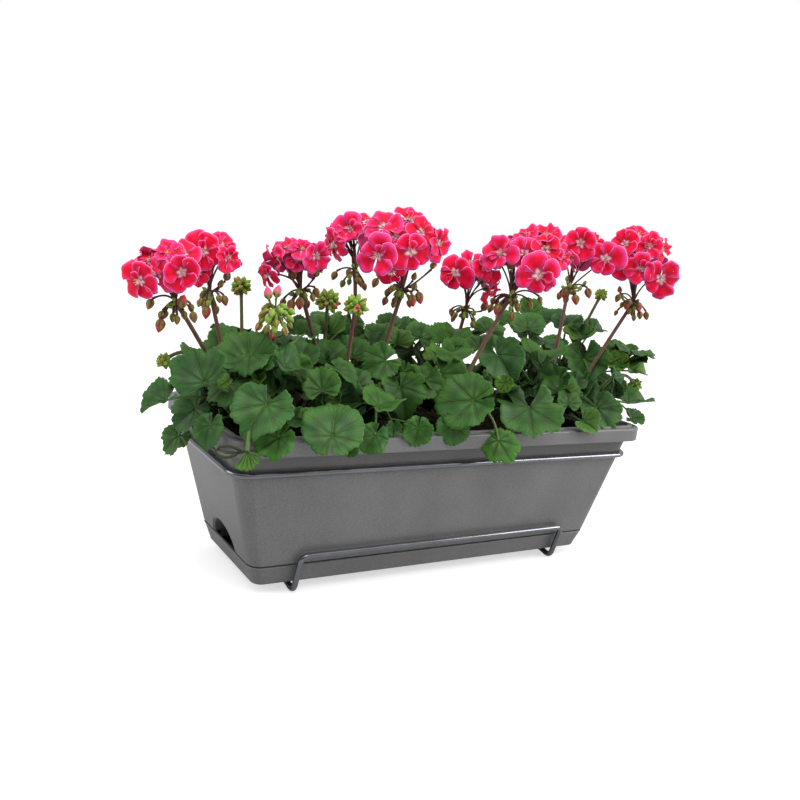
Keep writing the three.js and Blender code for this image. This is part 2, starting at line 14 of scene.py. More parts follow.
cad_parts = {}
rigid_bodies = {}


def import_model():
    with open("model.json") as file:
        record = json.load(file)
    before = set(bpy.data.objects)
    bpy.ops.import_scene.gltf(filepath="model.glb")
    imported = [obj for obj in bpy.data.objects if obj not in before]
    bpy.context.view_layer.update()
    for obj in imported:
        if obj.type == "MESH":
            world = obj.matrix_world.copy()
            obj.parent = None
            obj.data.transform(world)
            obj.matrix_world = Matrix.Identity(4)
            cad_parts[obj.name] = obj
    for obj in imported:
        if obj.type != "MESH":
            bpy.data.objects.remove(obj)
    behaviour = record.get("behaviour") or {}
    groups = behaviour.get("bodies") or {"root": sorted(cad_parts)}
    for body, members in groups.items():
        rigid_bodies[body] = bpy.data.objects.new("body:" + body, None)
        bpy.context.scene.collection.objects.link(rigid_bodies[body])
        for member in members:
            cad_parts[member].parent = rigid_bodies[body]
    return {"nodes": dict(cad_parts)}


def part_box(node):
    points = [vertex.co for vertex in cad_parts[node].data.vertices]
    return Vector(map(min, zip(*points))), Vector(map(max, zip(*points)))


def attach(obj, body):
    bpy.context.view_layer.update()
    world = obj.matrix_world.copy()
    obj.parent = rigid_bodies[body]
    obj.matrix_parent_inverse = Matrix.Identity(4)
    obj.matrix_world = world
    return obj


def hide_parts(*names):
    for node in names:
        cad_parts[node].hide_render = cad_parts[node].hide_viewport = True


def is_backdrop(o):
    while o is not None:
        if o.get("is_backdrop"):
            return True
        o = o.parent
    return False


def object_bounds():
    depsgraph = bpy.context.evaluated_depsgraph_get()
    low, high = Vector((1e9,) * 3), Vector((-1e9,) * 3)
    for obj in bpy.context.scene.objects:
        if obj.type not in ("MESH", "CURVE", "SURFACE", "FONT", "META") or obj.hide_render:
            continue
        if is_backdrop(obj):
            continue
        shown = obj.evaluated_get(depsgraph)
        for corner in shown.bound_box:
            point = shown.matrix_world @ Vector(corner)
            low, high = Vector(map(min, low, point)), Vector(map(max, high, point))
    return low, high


bl_info = {
    "name": "Planted window box",
    "version": (1, 0, 0),
    "blender": (4, 5, 0),
    "location": "3D View > Sidebar > Window box",
    "description": "Builds a railing window box planted with zonal geraniums",
    "category": "Add Mesh",
}

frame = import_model()
CAD_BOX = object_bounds()

MM = 0.001
BODY = "root"


# ---- layout ----

def plan(half_length, half_width, radius):
    """A rounded rectangle, seen from above."""
    return np.array((half_length, half_width, radius), float)


TRAY_HEIGHT = 19.7
TRAY_FOOT = plan(203.5, 66, 11)
TRAY_WALL = 2.5
TRAY_INSET = 0.1
BODY_BOTTOM = 20.0
SEAM_DEPTH = 1.3
SEAM_LOW, SEAM_HIGH = 21.4, 22.2
TRAY_LIP = 0.5
BODY_FOOT = plan(210, 71, 13)
NECK = plan(242.5, 88, 17)
WALL = 2.6
RIM = plan(250, 101, 24)
RIM_BOTTOM = 136.5
BOX_HEIGHT = 151.0
LIP_RISE = 1.6
LIP_WIDTH = 5.0
RIM_BAND = 6.0
RIM_GROOVE = 1.2
FLANGE_WALL = 2.5
FLANGE_TOP = 4.0
ARCH_HALF_WIDTH = 30.0
ARCH_HEIGHT = 22.0
NICHE_DEPTH = 28.0
NICHE_WALL = 2.4
WELL_X = 105.0
WELL_RADIUS = 17.0
WELL_BOTTOM = 3.2
SOIL_TOP = 130.0
CRUMB_KINDS, CRUMB_SEED = 5, 4
CRUMB_SMALLEST, CRUMB_LARGEST = 0.6, 2.2
END_SLOPE = (NECK[0] - BODY_FOOT[0]) / (RIM_BOTTOM - BODY_BOTTOM)
SKIRT_START, SKIRT_BOTTOM = 7.5, 13.0
NICHE_SET_BACK = 2.2
CORNER_STEPS = 12
SHARP_ANGLE = 32
WELL_SIDES, WELD_SIDES = 32, 16
STRAIGHT_SHARES = np.array((0.015, 0.25, 0.5, 0.75, 0.985))[:, None]

RING_HEIGHT = 117.0
RING_STANDOFF = 3.45
CRADLE_HALF_LENGTH = 163.0
BAR_Y, BAR_Z = -79.0, 31.0
FOOT_FRONT_Y, FOOT_REAR_Y, FOOT_Z = -68.0, 74.0, -8.5
RUNNER_Z, RUNNER_HALF = -3.35, 38.0
UPRIGHT_TOP, UPRIGHT_LEAN = 122.0, 1.0
HOOK_X, HOOK_BOTTOM, HOOK_TOP = 196.0, 102.0, 168.0
HOOK_REACH, HOOK_DROP = 66.0, 62.0
JOGGLE_LOW, JOGGLE_HIGH, JOGGLE_BEND = 119.0, 133.0, 5.0
WIRE_GAP = 0.3

LEAF_HUB = 0.28
LOBES = 7
LOBE_SPAN = 0.85
LOBE_ROOM = 16.0
STEM_UPRIGHT = 18.0
LOWEST_LEAF = 0.3
LEAFY_SHARE = 0.66
PETIOLE_BOW = 0.12
# The stalk of a leaf whose hub is lower than the first height rises to the second.
LOW_HUB, OVER_RIM = 159.0, 195.0
RUNNER_RADIUS, RUNNER_BEND = 1.4, 3.4
# Rows and sectors of an outer blade, and of one inside the plant or at a shoot's tip.
OUTER_GRID, INNER_GRID = (9, 140), (7, 98)
# The box that the middles of the inner leaves are kept in.
INNER_LOW, INNER_HIGH = (-236, -62, 158), (250, 84, 214)

STALK_BOW = 6.0
STALK_GREEN_FROM, STALK_GREEN_REACH = 232, 60
PETALS = 5
FILAMENTS = 6
OVERLAP_LEAN = math.tan(math.radians(10))
FLORET_KINDS, TUFT_KINDS, CALYX_KINDS = 8, 3, 2
BUD_LENGTH, BUD_RADIUS = 11.0, 3.9
BUD_SIDES, BUD_RINGS = 10, 8
BUD_RIPENESS = (0.0, 0.25, 0.6, 1.0, 1.3)
RIPEST_BUD = len(BUD_RIPENESS) - 1
SMALL_CLUSTER, LARGE_CLUSTER = 12, 15
SMALL_CLUSTER_SWELL = 1.3
LARGE_CLUSTER_HUB = 6
GOLDEN = math.pi * (3 - math.sqrt(5))
FEWEST_FLOWERS, FLOWERS_TO_AREA = 6, 4.0
# How far down its dome an umbel bears flowers or buds: 1 is to its widest, 2 all round.
DOME_SPAN, BALL_SPAN = 1.3, 1.85
# Points along the middle of each kind of stalk, and its sides.
STEM_STEPS, PETIOLE_STEPS, PEDICEL_STEPS, STALK_STEPS = 24, 12, 9, 26
STALK_SIDES = 8

# Ramps of the painted shade, in metres of the frame: heights where painted shade darkens the neck
# towards the rim and where the rim begins; for the painted shade on the leaves inside the plants, the
# heights from dark to light, and along the depth and the length of the box where that darkness begins
# and ends.
NECK_SHADE, RIM_START = (0.124, 0.140), (0.1466, 0.1468)
SHADE_HEIGHTS, SHADE_DEPTHS = (0.165, 0.245), (-0.118, -0.084)
SHADE_LEFT, SHADE_RIGHT = (-0.262, -0.225), (0.250, 0.280)

SENSOR_WIDTH, CLIP_END = 36, 100
FLOOR_GAP, FLOOR_SIDES = 0.2, 96
# The way from the box to behind the camera, where the studio is dim.
BEHIND_CAMERA = (-0.73, -0.68, 0.0)
# Each lamp's place, the point that it lights, and its size.
LAMPS = {"key": ((-0.5, -0.9, 2.3), (0, 0, 0.2), 1.6),
         "side": ((-2.0, 0.7, 1.0), (0, 0, 0.15), 1.4),
         "fill": ((2.1, -1.4, 1.1), (0, 0, 0.15), 1.4)}


def leaf(x, y, z, radius, azimuth, elevation, turn=0, **form):
    """A blade: its middle, its radius, where its face looks, and the turn of its tip."""
    return {"at": (x, y, z), "radius": radius, "azimuth": azimuth, "elevation": elevation,
            "turn": turn, **form}


def shoot(foot, tip, *leaves):
    return {"foot": foot, "tip": tip, "leaves": leaves}


SHOOTS = {
    "plant_1_shoot_front": shoot(
        (-192, -12), (-232, -58, 180),
        leaf(-239, -112, 144, 13, -45, 12, 32, gap=2.2, fold=0.5, age=0.25, droop=0.0, stout=1.8),
        leaf(-262, -74, 157, 16, -60, 35),
        leaf(-217, -111, 156, 18, -29, 28, -50, cup=0.1, fold=0.1, gap=0.12),
        leaf(-224, -98, 179, 27, -29, 50, -20, gap=0.5, fold=0.2, cup=0.05),
        leaf(-261, -47, 198, 26, -44, 34, -145, gap=0.8, cup=0.25, droop=0.0)),
    "plant_1_shoot_left": shoot(
        (-197, 2), (-240, -2, 182),
        leaf(-271, -14, 132, 16, -58, 40, -35, fold=0.15),
        leaf(-261, -22, 158, 20, -49, 34, -40, fold=0.2, cup=0.1),
        leaf(-298, -50, 176, 18, -52, 62, -55, fold=0.45, wave=1.6, droop=0.3),
        leaf(-240, 42, 176, 19, -100, 50),
        leaf(-218, 12, 212, 24, -31, 30, -180, gap=0.9, droop=0.1),
        leaf(-240, 20, 196, 10, -39, 35, -140, fold=0.6)),
    "plant_1_shoot_rear": shoot(
        (-186, 14), (-212, 60, 185),
        leaf(-222, 62, 174, 23, 205, 55), leaf(-190, 80, 179, 26, 180, 62),
        leaf(-140, 46, 212, 20, -30, 62, 170, fold=0.3),
        leaf(-174, 40, 204, 20, -23, 40, -175, gap=0.8),
        leaf(-132, 40, 231, 13, -21, 35, -175, gap=0.6)),
    "plant_1_shoot_middle": shoot(
        (-180, -6), (-190, -28, 200),
        leaf(-181, -78, 165, 11, -16, 40, 95, fold=0.5, wave=1.6),
        leaf(-169, -32, 201, 20, -25, 30, -15, gap=0.15, fold=0.1),
        leaf(-216, -36, 215, 27, -27, 32, -175, gap=1.0, droop=0.1, fold=0.25, cup=0.05),
        leaf(-201, -40, 187, 13, -13, 25, 150, gap=0.7, age=0.35, fold=0.3),
        leaf(-209, -44, 179, 10, -23, 50, -175, age=0.6, fold=0.7, wave=2.2),
        leaf(-144, 0, 209, 16, -16, 40, 155, fold=0.3),
        leaf(-132, 20, 232, 14, -28, 36, 170, gap=0.6)),
    "plant_2_shoot_left": shoot(
        (-98, -10), (-142, -66, 172),
        leaf(-163, -114, 166, 28, -30, 42, 180, gap=0.1, fold=0.12),
        leaf(-157, -72, 195, 18, -32, 30, -165, gap=0.8, fold=0.25),
        leaf(-174, -84, 169, 8, -27, 30, 125, fold=0.6, age=0.3),
        leaf(-139, -106, 144, 8, -20, 10, -15, fold=0.3)),
    "plant_2_shoot_front": shoot(
        (-84, -14), (-84, -60, 178),
        leaf(-68, -105, 158, 15, -29, 12, -5, cup=-0.15, gap=0.1),
        leaf(-105, -97, 182, 20, -21, 70, 135, wave=2.0, fold=0.5, droop=0.0),
        leaf(-115, -58, 194, 18, -24, 28, -180, gap=0.8, fold=0.2),
        leaf(-80, -44, 212, 20, -31, 36, -60, gap=0.3, fold=0.2),
        leaf(-119, -110, 154, 15, -21, 15, -25, cup=-0.1, gap=0.2),
        leaf(-64, -64, 186, 23, -23, 45, 15, gap=0.2),
        leaf(-91, -98, 160, 8, -22, 15, 5, fold=0.5)),
    "plant_2_shoot_rear": shoot(
        (-92, 12), (-112, 62, 188),
        leaf(-124, 82, 174, 26, 180, 60), leaf(-146, 58, 197, 24, 190, 60),
        leaf(-112, 10, 206, 21, -27, 55, 175, cup=0.35, fold=0.3),
        leaf(-101, 34, 231, 19, -32, 32, -170, gap=1.1, fold=0.9, age=0.3),
        leaf(-106, 46, 240, 12, -27, 30, -175, gap=0.8), leaf(-70, 40, 235, 13, -19, 25, gap=0.4)),
    "plant_2_shoot_right": shoot(
        (-76, 8), (-50, 56, 192),
        leaf(-46, 82, 176, 27, 170, 60), leaf(-62, 58, 210, 25, 190, 66),
        leaf(-32, 8, 226, 16, -22, 35, 170, gap=1.0, fold=0.7, age=0.3),
        leaf(-83, 10, 212, 21, -29, 32, -175, gap=0.9, cup=0.2),
        leaf(-43, 30, 228, 16, -26, 40, -170, fold=0.3),
        leaf(-16, 56, 235, 14, -31, 35, -175, gap=0.7),
        leaf(-56, 20, 218, 17, -30, 40, -175, gap=0.7, fold=0.3)),
    "plant_3_shoot_left": shoot(
        (36, -10), (0, -62, 182),
        leaf(30, -112, 143, 20, -35, 38, 35, cup=-0.2, wave=0.4, gap=0.1, fold=0.0),
        leaf(-27, -105, 160, 17, -36, 15, 5, cup=-0.1, gap=0.2),
        leaf(-15, -102, 186, 30, -47, 34, -75, gap=0.12, fold=0.08, cup=0.05),
        leaf(4, -42, 216, 23, -36, 70, -180, cup=0.3, wave=1.4),
        leaf(-40, -60, 194, 21, -29, 45, -25, gap=0.3, fold=0.2),
        leaf(6, -10, 212, 13, -35, 60, 165, fold=0.3, age=0.3)),
    "plant_3_shoot_front": shoot(
        (52, -12), (76, -52, 180),
        leaf(79, -92, 169, 36, -36, 58, 5, gap=0.5, fold=0.1, cup=0.08),
        leaf(73, -40, 216, 26, -34, 38, 40, gap=0.2, fold=0.3),
        leaf(40, 12, 229, 23, -41, 52, -180, gap=0.6),
        leaf(32, -10, 222, 15, -36, 36, -175, gap=0.7),
        leaf(108, 34, 240, 20, -38, 45, 160, gap=0.5, fold=0.2),
        leaf(80, 10, 224, 18, -38, 42, -175, gap=0.6)),
    "plant_3_shoot_rear": shoot(
        (46, 12), (52, 62, 190),
        leaf(44, 82, 175, 26, 188, 62), leaf(18, 58, 208, 24, 180, 60),
        leaf(84, 50, 226, 23, 150, 70), leaf(19, 40, 228, 19, -29, 38, 165, gap=0.6, fold=0.2),
        leaf(10, 60, 231, 15, -32, 35, -175, gap=0.7),
        leaf(56, 56, 230, 15, -35, 40, -165, gap=0.6),
        leaf(148, 50, 249, 16, -39, 38, -180, gap=0.5, fold=0.3)),
    "plant_4_shoot_left": shoot(
        (168, -10), (146, -56, 176),
        leaf(155, -99, 159, 15, -30, 35, 65, fold=0.8, gap=0.8, age=0.22),
        leaf(144, -62, 190, 22, -33, 28, -180, gap=0.8, fold=0.2),
        leaf(112, -8, 219, 19, -35, 60, 160, fold=0.4),
        leaf(142, -26, 213, 27, -27, 80, 165, cup=0.4, wave=1.3, gap=0.3),
        leaf(141, -80, 180, 14, -24, 30, -180, gap=0.5, fold=0.4),
        leaf(147, 6, 218, 15, -31, 45, -180, gap=0.6),
        leaf(169, 36, 239, 19, -45, 48, -165, gap=0.5)),
    "plant_4_shoot_front": shoot(
        (184, -12), (226, -46, 172),
        leaf(249, -80, 158, 13, -28, 50, 95, fold=0.3),
        leaf(193, -80, 166, 25, -36, 55, 35, gap=0.2, fold=0.2),
        leaf(267, -20, 177, 18, -36, 45, -120, gap=0.2, fold=0.2, age=0.25),
        leaf(283, -42, 168, 26, -38, 74, 135, wave=1.5, fold=0.35),
        leaf(228, -8, 207, 27, -40, 42, 15, gap=0.5, cup=0.2)),
    "plant_4_shoot_right": shoot(
        (192, 6), (238, 40, 196),
        leaf(288, 28, 184, 22, 110, 55), leaf(250, 66, 188, 24, 155, 55),
        leaf(300, -16, 225, 25, -42, 78, 145, wave=2.0, cup=0.1, fold=0.1),
        leaf(263, 20, 247, 16, -35, 55, 125, fold=0.5),
        leaf(233, 40, 252, 20, -43, 45, -175, gap=0.7, fold=0.2),
        leaf(295, -6, 213, 28, -37, 62, -50, wave=1.5, fold=0.3),
        leaf(306, -20, 202, 15, -33, 50, 100, fold=0.6, age=0.7, wave=1.8),
        leaf(278, -12, 208, 15, -47, 40, -80, fold=0.5, age=0.5),
        leaf(233, 16, 235, 20, -44, 75, -70, cup=0.4, age=0.3),
        leaf(239, 26, 242, 14, -44, 30, -170, gap=0.5)),
    "plant_4_shoot_rear": shoot(
        (176, 14), (156, 62, 190),
        leaf(208, 80, 176, 26, 172, 60), leaf(120, 82, 176, 26, 182, 60),
        leaf(176, 62, 214, 24, 180, 64), leaf(184, 18, 230, 22, -32, 60, 160, fold=0.2),
        leaf(159, 26, 247, 21, -35, 38, -175, gap=0.8, fold=0.2),
        leaf(188, 60, 261, 16, -40, 40, -180, gap=0.7),
        leaf(202, 20, 224, 18, -32, 40, -180, gap=0.5),
        leaf(223, 60, 253, 18, -42, 40, -170, gap=0.6)),
}
SHOOT_NAMES = list(SHOOTS)
# Thin stems that hang over the left end of the rim, on the shoot that they grow from.
RUNNERS = {
    "plant_1_shoot_left": (
        ((-228, -8, 166), (-246, -4, 160), (-255, -12, 144), (-256, -30, 135), (-256, -52, 136),
         (-255, -74, 139), (-252, -94, 142), (-246, -105, 144), (-238, -107, 147),
         (-230, -107, 146), (-221, -107, 141)),
        ((-247, -105, 143), (-256, -107, 141), (-264, -107, 143), (-267, -105, 147),
         (-262, -105, 151), (-254, -105, 151), (-247, -105, 148), (-242, -106, 145)),
    ),
}


def umbel(at, radius, rise, hub, shoot_index, share, bow=STALK_BOW):
    """An umbel: its middle, radius and half height, the hub that its flower stalks spring
    from, and the shoot and the share along that shoot's stem that carry its main stalk."""
    return {"at": at, "radius": radius, "rise": rise, "hub": hub,
            "shoot": shoot_index, "share": share, "bow": bow}


FLOWER_HEADS = [
    umbel((-297, -25, 287), 33, 26, (-282, -25, 259), 1, 0.45),
    umbel((-236, 22, 303), 29, 20, (-236, 20, 264), 1, 0.6),
    umbel((-162, 5, 302), 32, 22, (-150, 5, 271), 6, 0.45),
    umbel((-84, 47, 328), 25, 27, (-70, 46, 292), 7, 0.7),
    umbel((-61, -30, 330), 45, 37, (-56, -30, 283), 5, 0.6),
    umbel((58, 20, 299), 34, 25, (61, 20, 261), 10, 0.5),
    umbel((85, -35, 323), 41, 38, (77, -35, 284), 8, 0.75),
    umbel((203, 4, 338), 30, 28, (192, 2, 295), 11, 0.5),
    umbel((270, -27, 338), 44, 40, (274, -25, 287), 12, 0.5),
]
BUD_CLUSTERS = [
    umbel((-194, 50, 268), 9, 9, (-194, 50, 258), 2, 0.5),
    umbel((-194, -40, 249), 18, 14, (-193, -40, 236), 3, 0.5),
    umbel((-116, -46, 266), 13, 11, (-116, -46, 256), 4, 0.5),
    umbel((-112, 20, 262), 11, 9, (-112, 20, 253), 6, 0.7),
    umbel((264, 20, 290), 7, 8, (262, 20, 281), 13, 0.8),
    umbel((318, -10, 182), 8, 8, (313, -10, 174), 12, 0.9, 44),
    umbel((-281, 2, 201), 6.5, 6, (-280, 2, 196), 1, 0.75, 46),
]


# For each head the flowers at its front: middle, size, azimuth and elevation of the face.
HEAD_FLOWERS = (
    ((-316, -35, 276, 0.80, -50, -8), (-303, -36, 283, 0.74, -66, 0),
     (-289, -59, 288, 0.82, -18, -6), (-307, -27, 292, 0.66, -46, 38),
     (-294, -34, 299, 0.69, -25, 42), (-282, -36, 301, 0.64, -6, 45)),
    ((-249, 9, 302, 0.86, -24, 8), (-232, 11, 308, 0.67, 0, 35), (-229, 2, 299, 0.72, 25, -2),
     (-248, 19, 282, 0.67, -29, -20)),
    ((-186, 4, 285, 0.64, -78, -22), (-174, 4, 301, 0.72, -92, 0), (-169, 2, 311, 0.67, -49, 48),
     (-160, -11, 312, 0.64, -27, 40), (-150, -19, 309, 0.72, 12, -6),
     (-164, -9, 303, 0.64, -35, 10)),
    ((-87, 35, 335, 0.90, -43, 10), (-98, 46, 317, 0.78, -85, -14),
     (-68, 38, 344, 0.68, -14, 45), (-87, 51, 338, 0.64, -78, 40)),
    ((-101, -51, 316, 0.93, -38, -6), (-72, -63, 323, 0.91, -20, 0),
     (-88, -33, 341, 0.84, -40, 42), (-63, -40, 350, 0.85, -27, 48),
     (-59, -55, 341, 0.67, -13, 30), (-44, -62, 333, 0.86, 21, 0),
     (-80, -46, 335, 0.65, -31, 20), (-80, -45, 301, 0.66, -31, -35)),
    ((34, 11, 302, 0.95, -60, -4), (65, -4, 310, 0.85, -7, 8), (54, 11, 313, 0.72, -36, 38),
     (77, 2, 286, 0.64, 32, -30)),
    ((52, -41, 328, 0.91, -66, 16), (100, -52, 351, 0.87, -39, 50),
     (87, -37, 350, 0.67, -80, 48), (73, -53, 331, 0.78, -52, 12), (93, -61, 338, 0.82, -27, 28),
     (79, -74, 312, 1.01, -36, -12), (113, -65, 333, 0.67, 13, 0), (72, -36, 337, 0.67, -59, 45)),
    ((190, -8, 349, 0.90, -43, 4), (191, 1, 328, 0.76, -113, -30), (179, 15, 343, 0.64, -90, 38),
     (215, -4, 352, 0.66, 6, 30),
     (210, -31, 335, 1.01, -60, 0)),
    ((235, -34, 354, 0.91, -51, 16),
     (257, -30, 365, 0.85, -36, 42), (260, -46, 355, 0.76, -25, 12),
     (286, -42, 353, 0.64, 17, 10), (247, -53, 329, 0.95, -43, -12),
     (267, -66, 320, 1.01, -23, -12), (238, -36, 331, 0.80, -46, 0)),
)
# For each head the buds at its front: middle, and how ripe from 0 to 3.
HEAD_BUDS = (
    ((-301, -14, 254, 2), (-294, -25, 246, 1), (-295, -27, 238, 3), (-285, -29, 245, 1),
     (-283, -35, 244, 1), (-276, -32, 248, 1), (-270, -40, 248, 2), (-280, -38, 261, 3)),
    ((-222, 16, 281, 2), (-227, 17, 273, 1), (-245, 18, 254, 1), (-241, 12, 246, 3),
     (-240, 10, 254, 0), (-230, 10, 259, 1), (-225, 9, 258, 2)),
    ((-160, 6, 288, 3), (-139, -2, 292, 2), (-156, -1, 271, 0), (-148, -2, 268, 0),
     (-137, -3, 272, 2), (-142, -6, 267, 1), (-161, 1, 258, 3), (-154, -4, 261, 3),
     (-159, 6, 252, 3)),
    ((-89, 56, 285, 2), (-77, 48, 290, 1), (-69, 46, 293, 0), (-67, 41, 282, 1)),
    ((-82, -19, 287, 2), (-68, -29, 283, 1), (-62, -34, 279, 0), (-52, -44, 275, 3),
     (-44, -44, 278, 3), (-48, -39, 288, 1), (-46, -33, 298, 1), (-30, -40, 311, 1)),
    ((51, 25, 253, 1), (62, 26, 260, 1), (67, 11, 259, 0), (69, 13, 251, 0), (65, 9, 246, 1),
     (79, 10, 268, 3)),
    ((63, -34, 270, 3), (73, -43, 272, 0), (81, -45, 274, 2), (75, -46, 264, 2),
     (95, -48, 278, 2), (107, -49, 284, 1), (75, -32, 319, 3)),
    ((188, 3, 290, 3), (195, -10, 284, 3), (212, -11, 293, 3), (191, -1, 300, 0),
     (201, -8, 298, 0), (209, -6, 304, 0), (191, 6, 307, 0), (197, -1, 293, 1)),
    ((262, -19, 282, 1), (263, -26, 284, 3), (273, -35, 283, 3), (266, -28, 276, 1),
     (269, -33, 280, 0), (271, -33, 269, 1), (279, -34, 273, 2), (287, -37, 273, 2),
     (251, -21, 290, 2), (254, -19, 301, 1), (258, -21, 293, 0)),
)


# ---- settings ----

def paint(code):
    """A linear colour from a hexadecimal screen colour."""
    screen = [((code >> shift) & 255) / 255 for shift in (16, 8, 0)]
    return tuple(c / 12.92 if c <= 0.04045 else ((c + 0.055) / 1.055) ** 2.4 for c in screen)


def colour(name, description, code):
    return FloatVectorProperty(name=name, description=description, subtype="COLOR",
                               size=3, min=0, max=1, default=paint(code))


def length(name, description, default):
    """A length in millimetres in the source, and in metres in the property."""
    return FloatProperty(name=name, description=description, default=default * MM,
                         min=0, unit="LENGTH", precision=5)


def share(name, description, default, high=1.0):
    return FloatProperty(name=name, description=description, default=default,
                         min=0, max=high, subtype="FACTOR")


def count(name, description, default):
    return IntProperty(name=name, description=description, default=default, min=0)


def amount(name, description, default, **options):
    return FloatProperty(name=name, description=description, default=default, min=0, **options)


def angle(name, description, degrees):
    return FloatProperty(name=name, description=description, default=math.radians(degrees),
                         subtype="ANGLE")


class WINDOWBOX_box_settings(bpy.types.PropertyGroup):
    """Sizes and colours of the trough, the tray, the soil and the rack."""
    plastic: colour("Plastic", "Colour of the trough and the tray", 0x656565)
    speckle: share("Speckle", "Strength of the plastic's fine grain", 0.24)
    wire: colour("Wire", "Colour of the rack's lacquer", 0x6C6E72)
    wire_radius: length("Wire radius", "Half the thickness of the rack's wire", 3.0)
    wire_sides: count("Wire sides", "Sides of the round wire", 32)
    top_edge: length("Top edge", "Rounding of the rim's outer edge", 1.5)
    soil_dark: colour("Dark soil", "Colour of the moist soil", 0x1E1611)
    soil_light: colour("Light soil", "Colour of the dry crumbs", 0x4B3728)
    crumbs: amount("Crumbs", "Soil crumbs on each square metre", 16000)


class WINDOWBOX_leaf_settings(bpy.types.PropertyGroup):
    """Sizes and colours of the leaves and the stems."""
    face: colour("Leaf", "Colour of the upper side of a grown leaf", 0x336619)
    cool: colour("Cool leaf", "Bluish tone on part of the leaves", 0x2B5A28)
    # Besides the horseshoe zone, this colour paints the shade in the creases and, darker still, the
    # painted shade far inside the plants.
    deep: colour("Leaf zone", "Darker horseshoe zone of a leaf", 0x1A3310)
    fresh: colour("Young leaf", "Colour of a young leaf", 0x517A2C)
    newest: colour("Newest leaf", "Colour of a leaf that is still folded", 0x74A03A)
    back: colour("Leaf underside", "Colour of the underside", 0x4E7032)
    vein: colour("Vein", "Colour of the veins", 0x84A658)
    petiole: colour("Leaf stalk", "Colour of the leaf stalks", 0x4C682C)
    wood: colour("Woody stem", "Colour of the old stems", 0x2C3216)
    thickness: length("Thickness", "Thickness of a blade", 0.55)
    petiole_radius: length("Leaf stalk radius", "Half the thickness of a leaf stalk", 1.35)
    stem_radius: length("Stem radius", "Half the thickness of a woody stem", 4.0)
    tooth: share("Teeth", "Depth of the rounded teeth", 0.062)
    lobe: share("Lobes", "Depth of the cuts between lobes", 0.09)
    pleat: share("Pleats", "Rise of the blade between its veins", 0.10)
    filling: count("Inner leaves", "Inner leaves on each shoot", 12)
    sprigs: count("Young leaves", "Young leaves at the tip of each shoot", 2)


class WINDOWBOX_flower_settings(bpy.types.PropertyGroup):
    """Sizes and colours of the flowers and the buds."""
    petal: colour("Petal", "Colour of the middle of a petal", 0xEE0C3A)
    # Also painted shade towards the throat, where the petals overlap and cup; the fine dark lines on
    # the petals use it too.
    petal_deep: colour("Petal base", "Deeper colour round the throat", 0xA80626)
    petal_edge: colour("Petal edge", "Colour towards the edge of a petal", 0xEC4698)
    petal_line: colour("Petal rim", "Thin light line along the edge", 0xF8B8D8)
    petal_back: colour("Petal back", "Colour of the back of a petal", 0xE24C86)
    throat: colour("Throat", "Light base of a petal", 0xFBE3EC)
    streak: colour("Streak", "Fine lines in the throat", 0xA80E3C)
    filament: colour("Filament", "Colour of the stamens", 0xFBE8EF)
    anther: colour("Anther", "Colour of the pollen", 0xD98A3C)
    stalk: colour("Flower stalk", "Colour of the main stalks", 0x664034)
    stalk_green: colour("Green stalk", "Colour of the young stretches", 0x5E6634)
    pedicel: colour("Pedicel", "Colour of the flowers' own stalks", 0x4A1E1C)
    bud: colour("Bud", "Green of the buds", 0x84AA3A)
    bud_brown: colour("Brown bud", "Brown flush on the buds", 0x54301F)
    bud_seam: colour("Bud seam", "Dark red between the sepals of a bud", 0x8C1C34)
    bud_tip: colour("Bud tip", "Petals that show at the tip of a bud", 0xC81C46)
    petal_length: length("Petal length", "Length of an outer petal", 24.0)
    petal_thickness: length("Petal thickness", "Thickness of a petal", 0.3)
    stalk_radius: length("Stalk radius", "Half the thickness of a main stalk", 2.15)
    pedicel_radius: length("Pedicel radius", "Half the thickness of a flower's stalk", 1.0)
    fullness: share("Fullness", "Flowers on each umbel, against the usual number", 1.0, 2.0)


class WINDOWBOX_studio_settings(bpy.types.PropertyGroup):
    """The floor, the light and the camera."""
    floor: colour("Floor", "Colour of the floor", 0xC8C8C8)
    floor_size: amount("Floor size", "Width of the floor", 60.0, unit="LENGTH")
    glow: share("Glow", "Light that is added where the floor is seen, so that it is white", 0.6)
    ambient: amount("Ambient", "Light from overhead", 1.1)
    horizon: amount("Horizon", "Light from the horizon", 0.38)
    key: amount("Key", "Power of the light above", 30.0, unit="POWER")
    side: amount("Side", "Power of the light at the left", 15.5, unit="POWER")
    fill: amount("Fill", "Power of the light at the right", 36.0, unit="POWER")
    lens: amount("Lens", "Focal length on a 36 mm sensor", 38.74, unit="CAMERA")
    camera_at: FloatVectorProperty(name="Camera", description="Place of the camera",
                                   default=(-0.5122, -0.7612, 0.3506), subtype="TRANSLATION")
    yaw: angle("Yaw", "Turn of the view to the right", 32.66)
    pitch: angle("Pitch", "Angle below the horizon", 11.73)
    roll: angle("Roll", "Tilt of the camera", 6.86)


def settings(name):
    return getattr(bpy.context.scene, "windowbox_" + name)


# ---- meshes ----

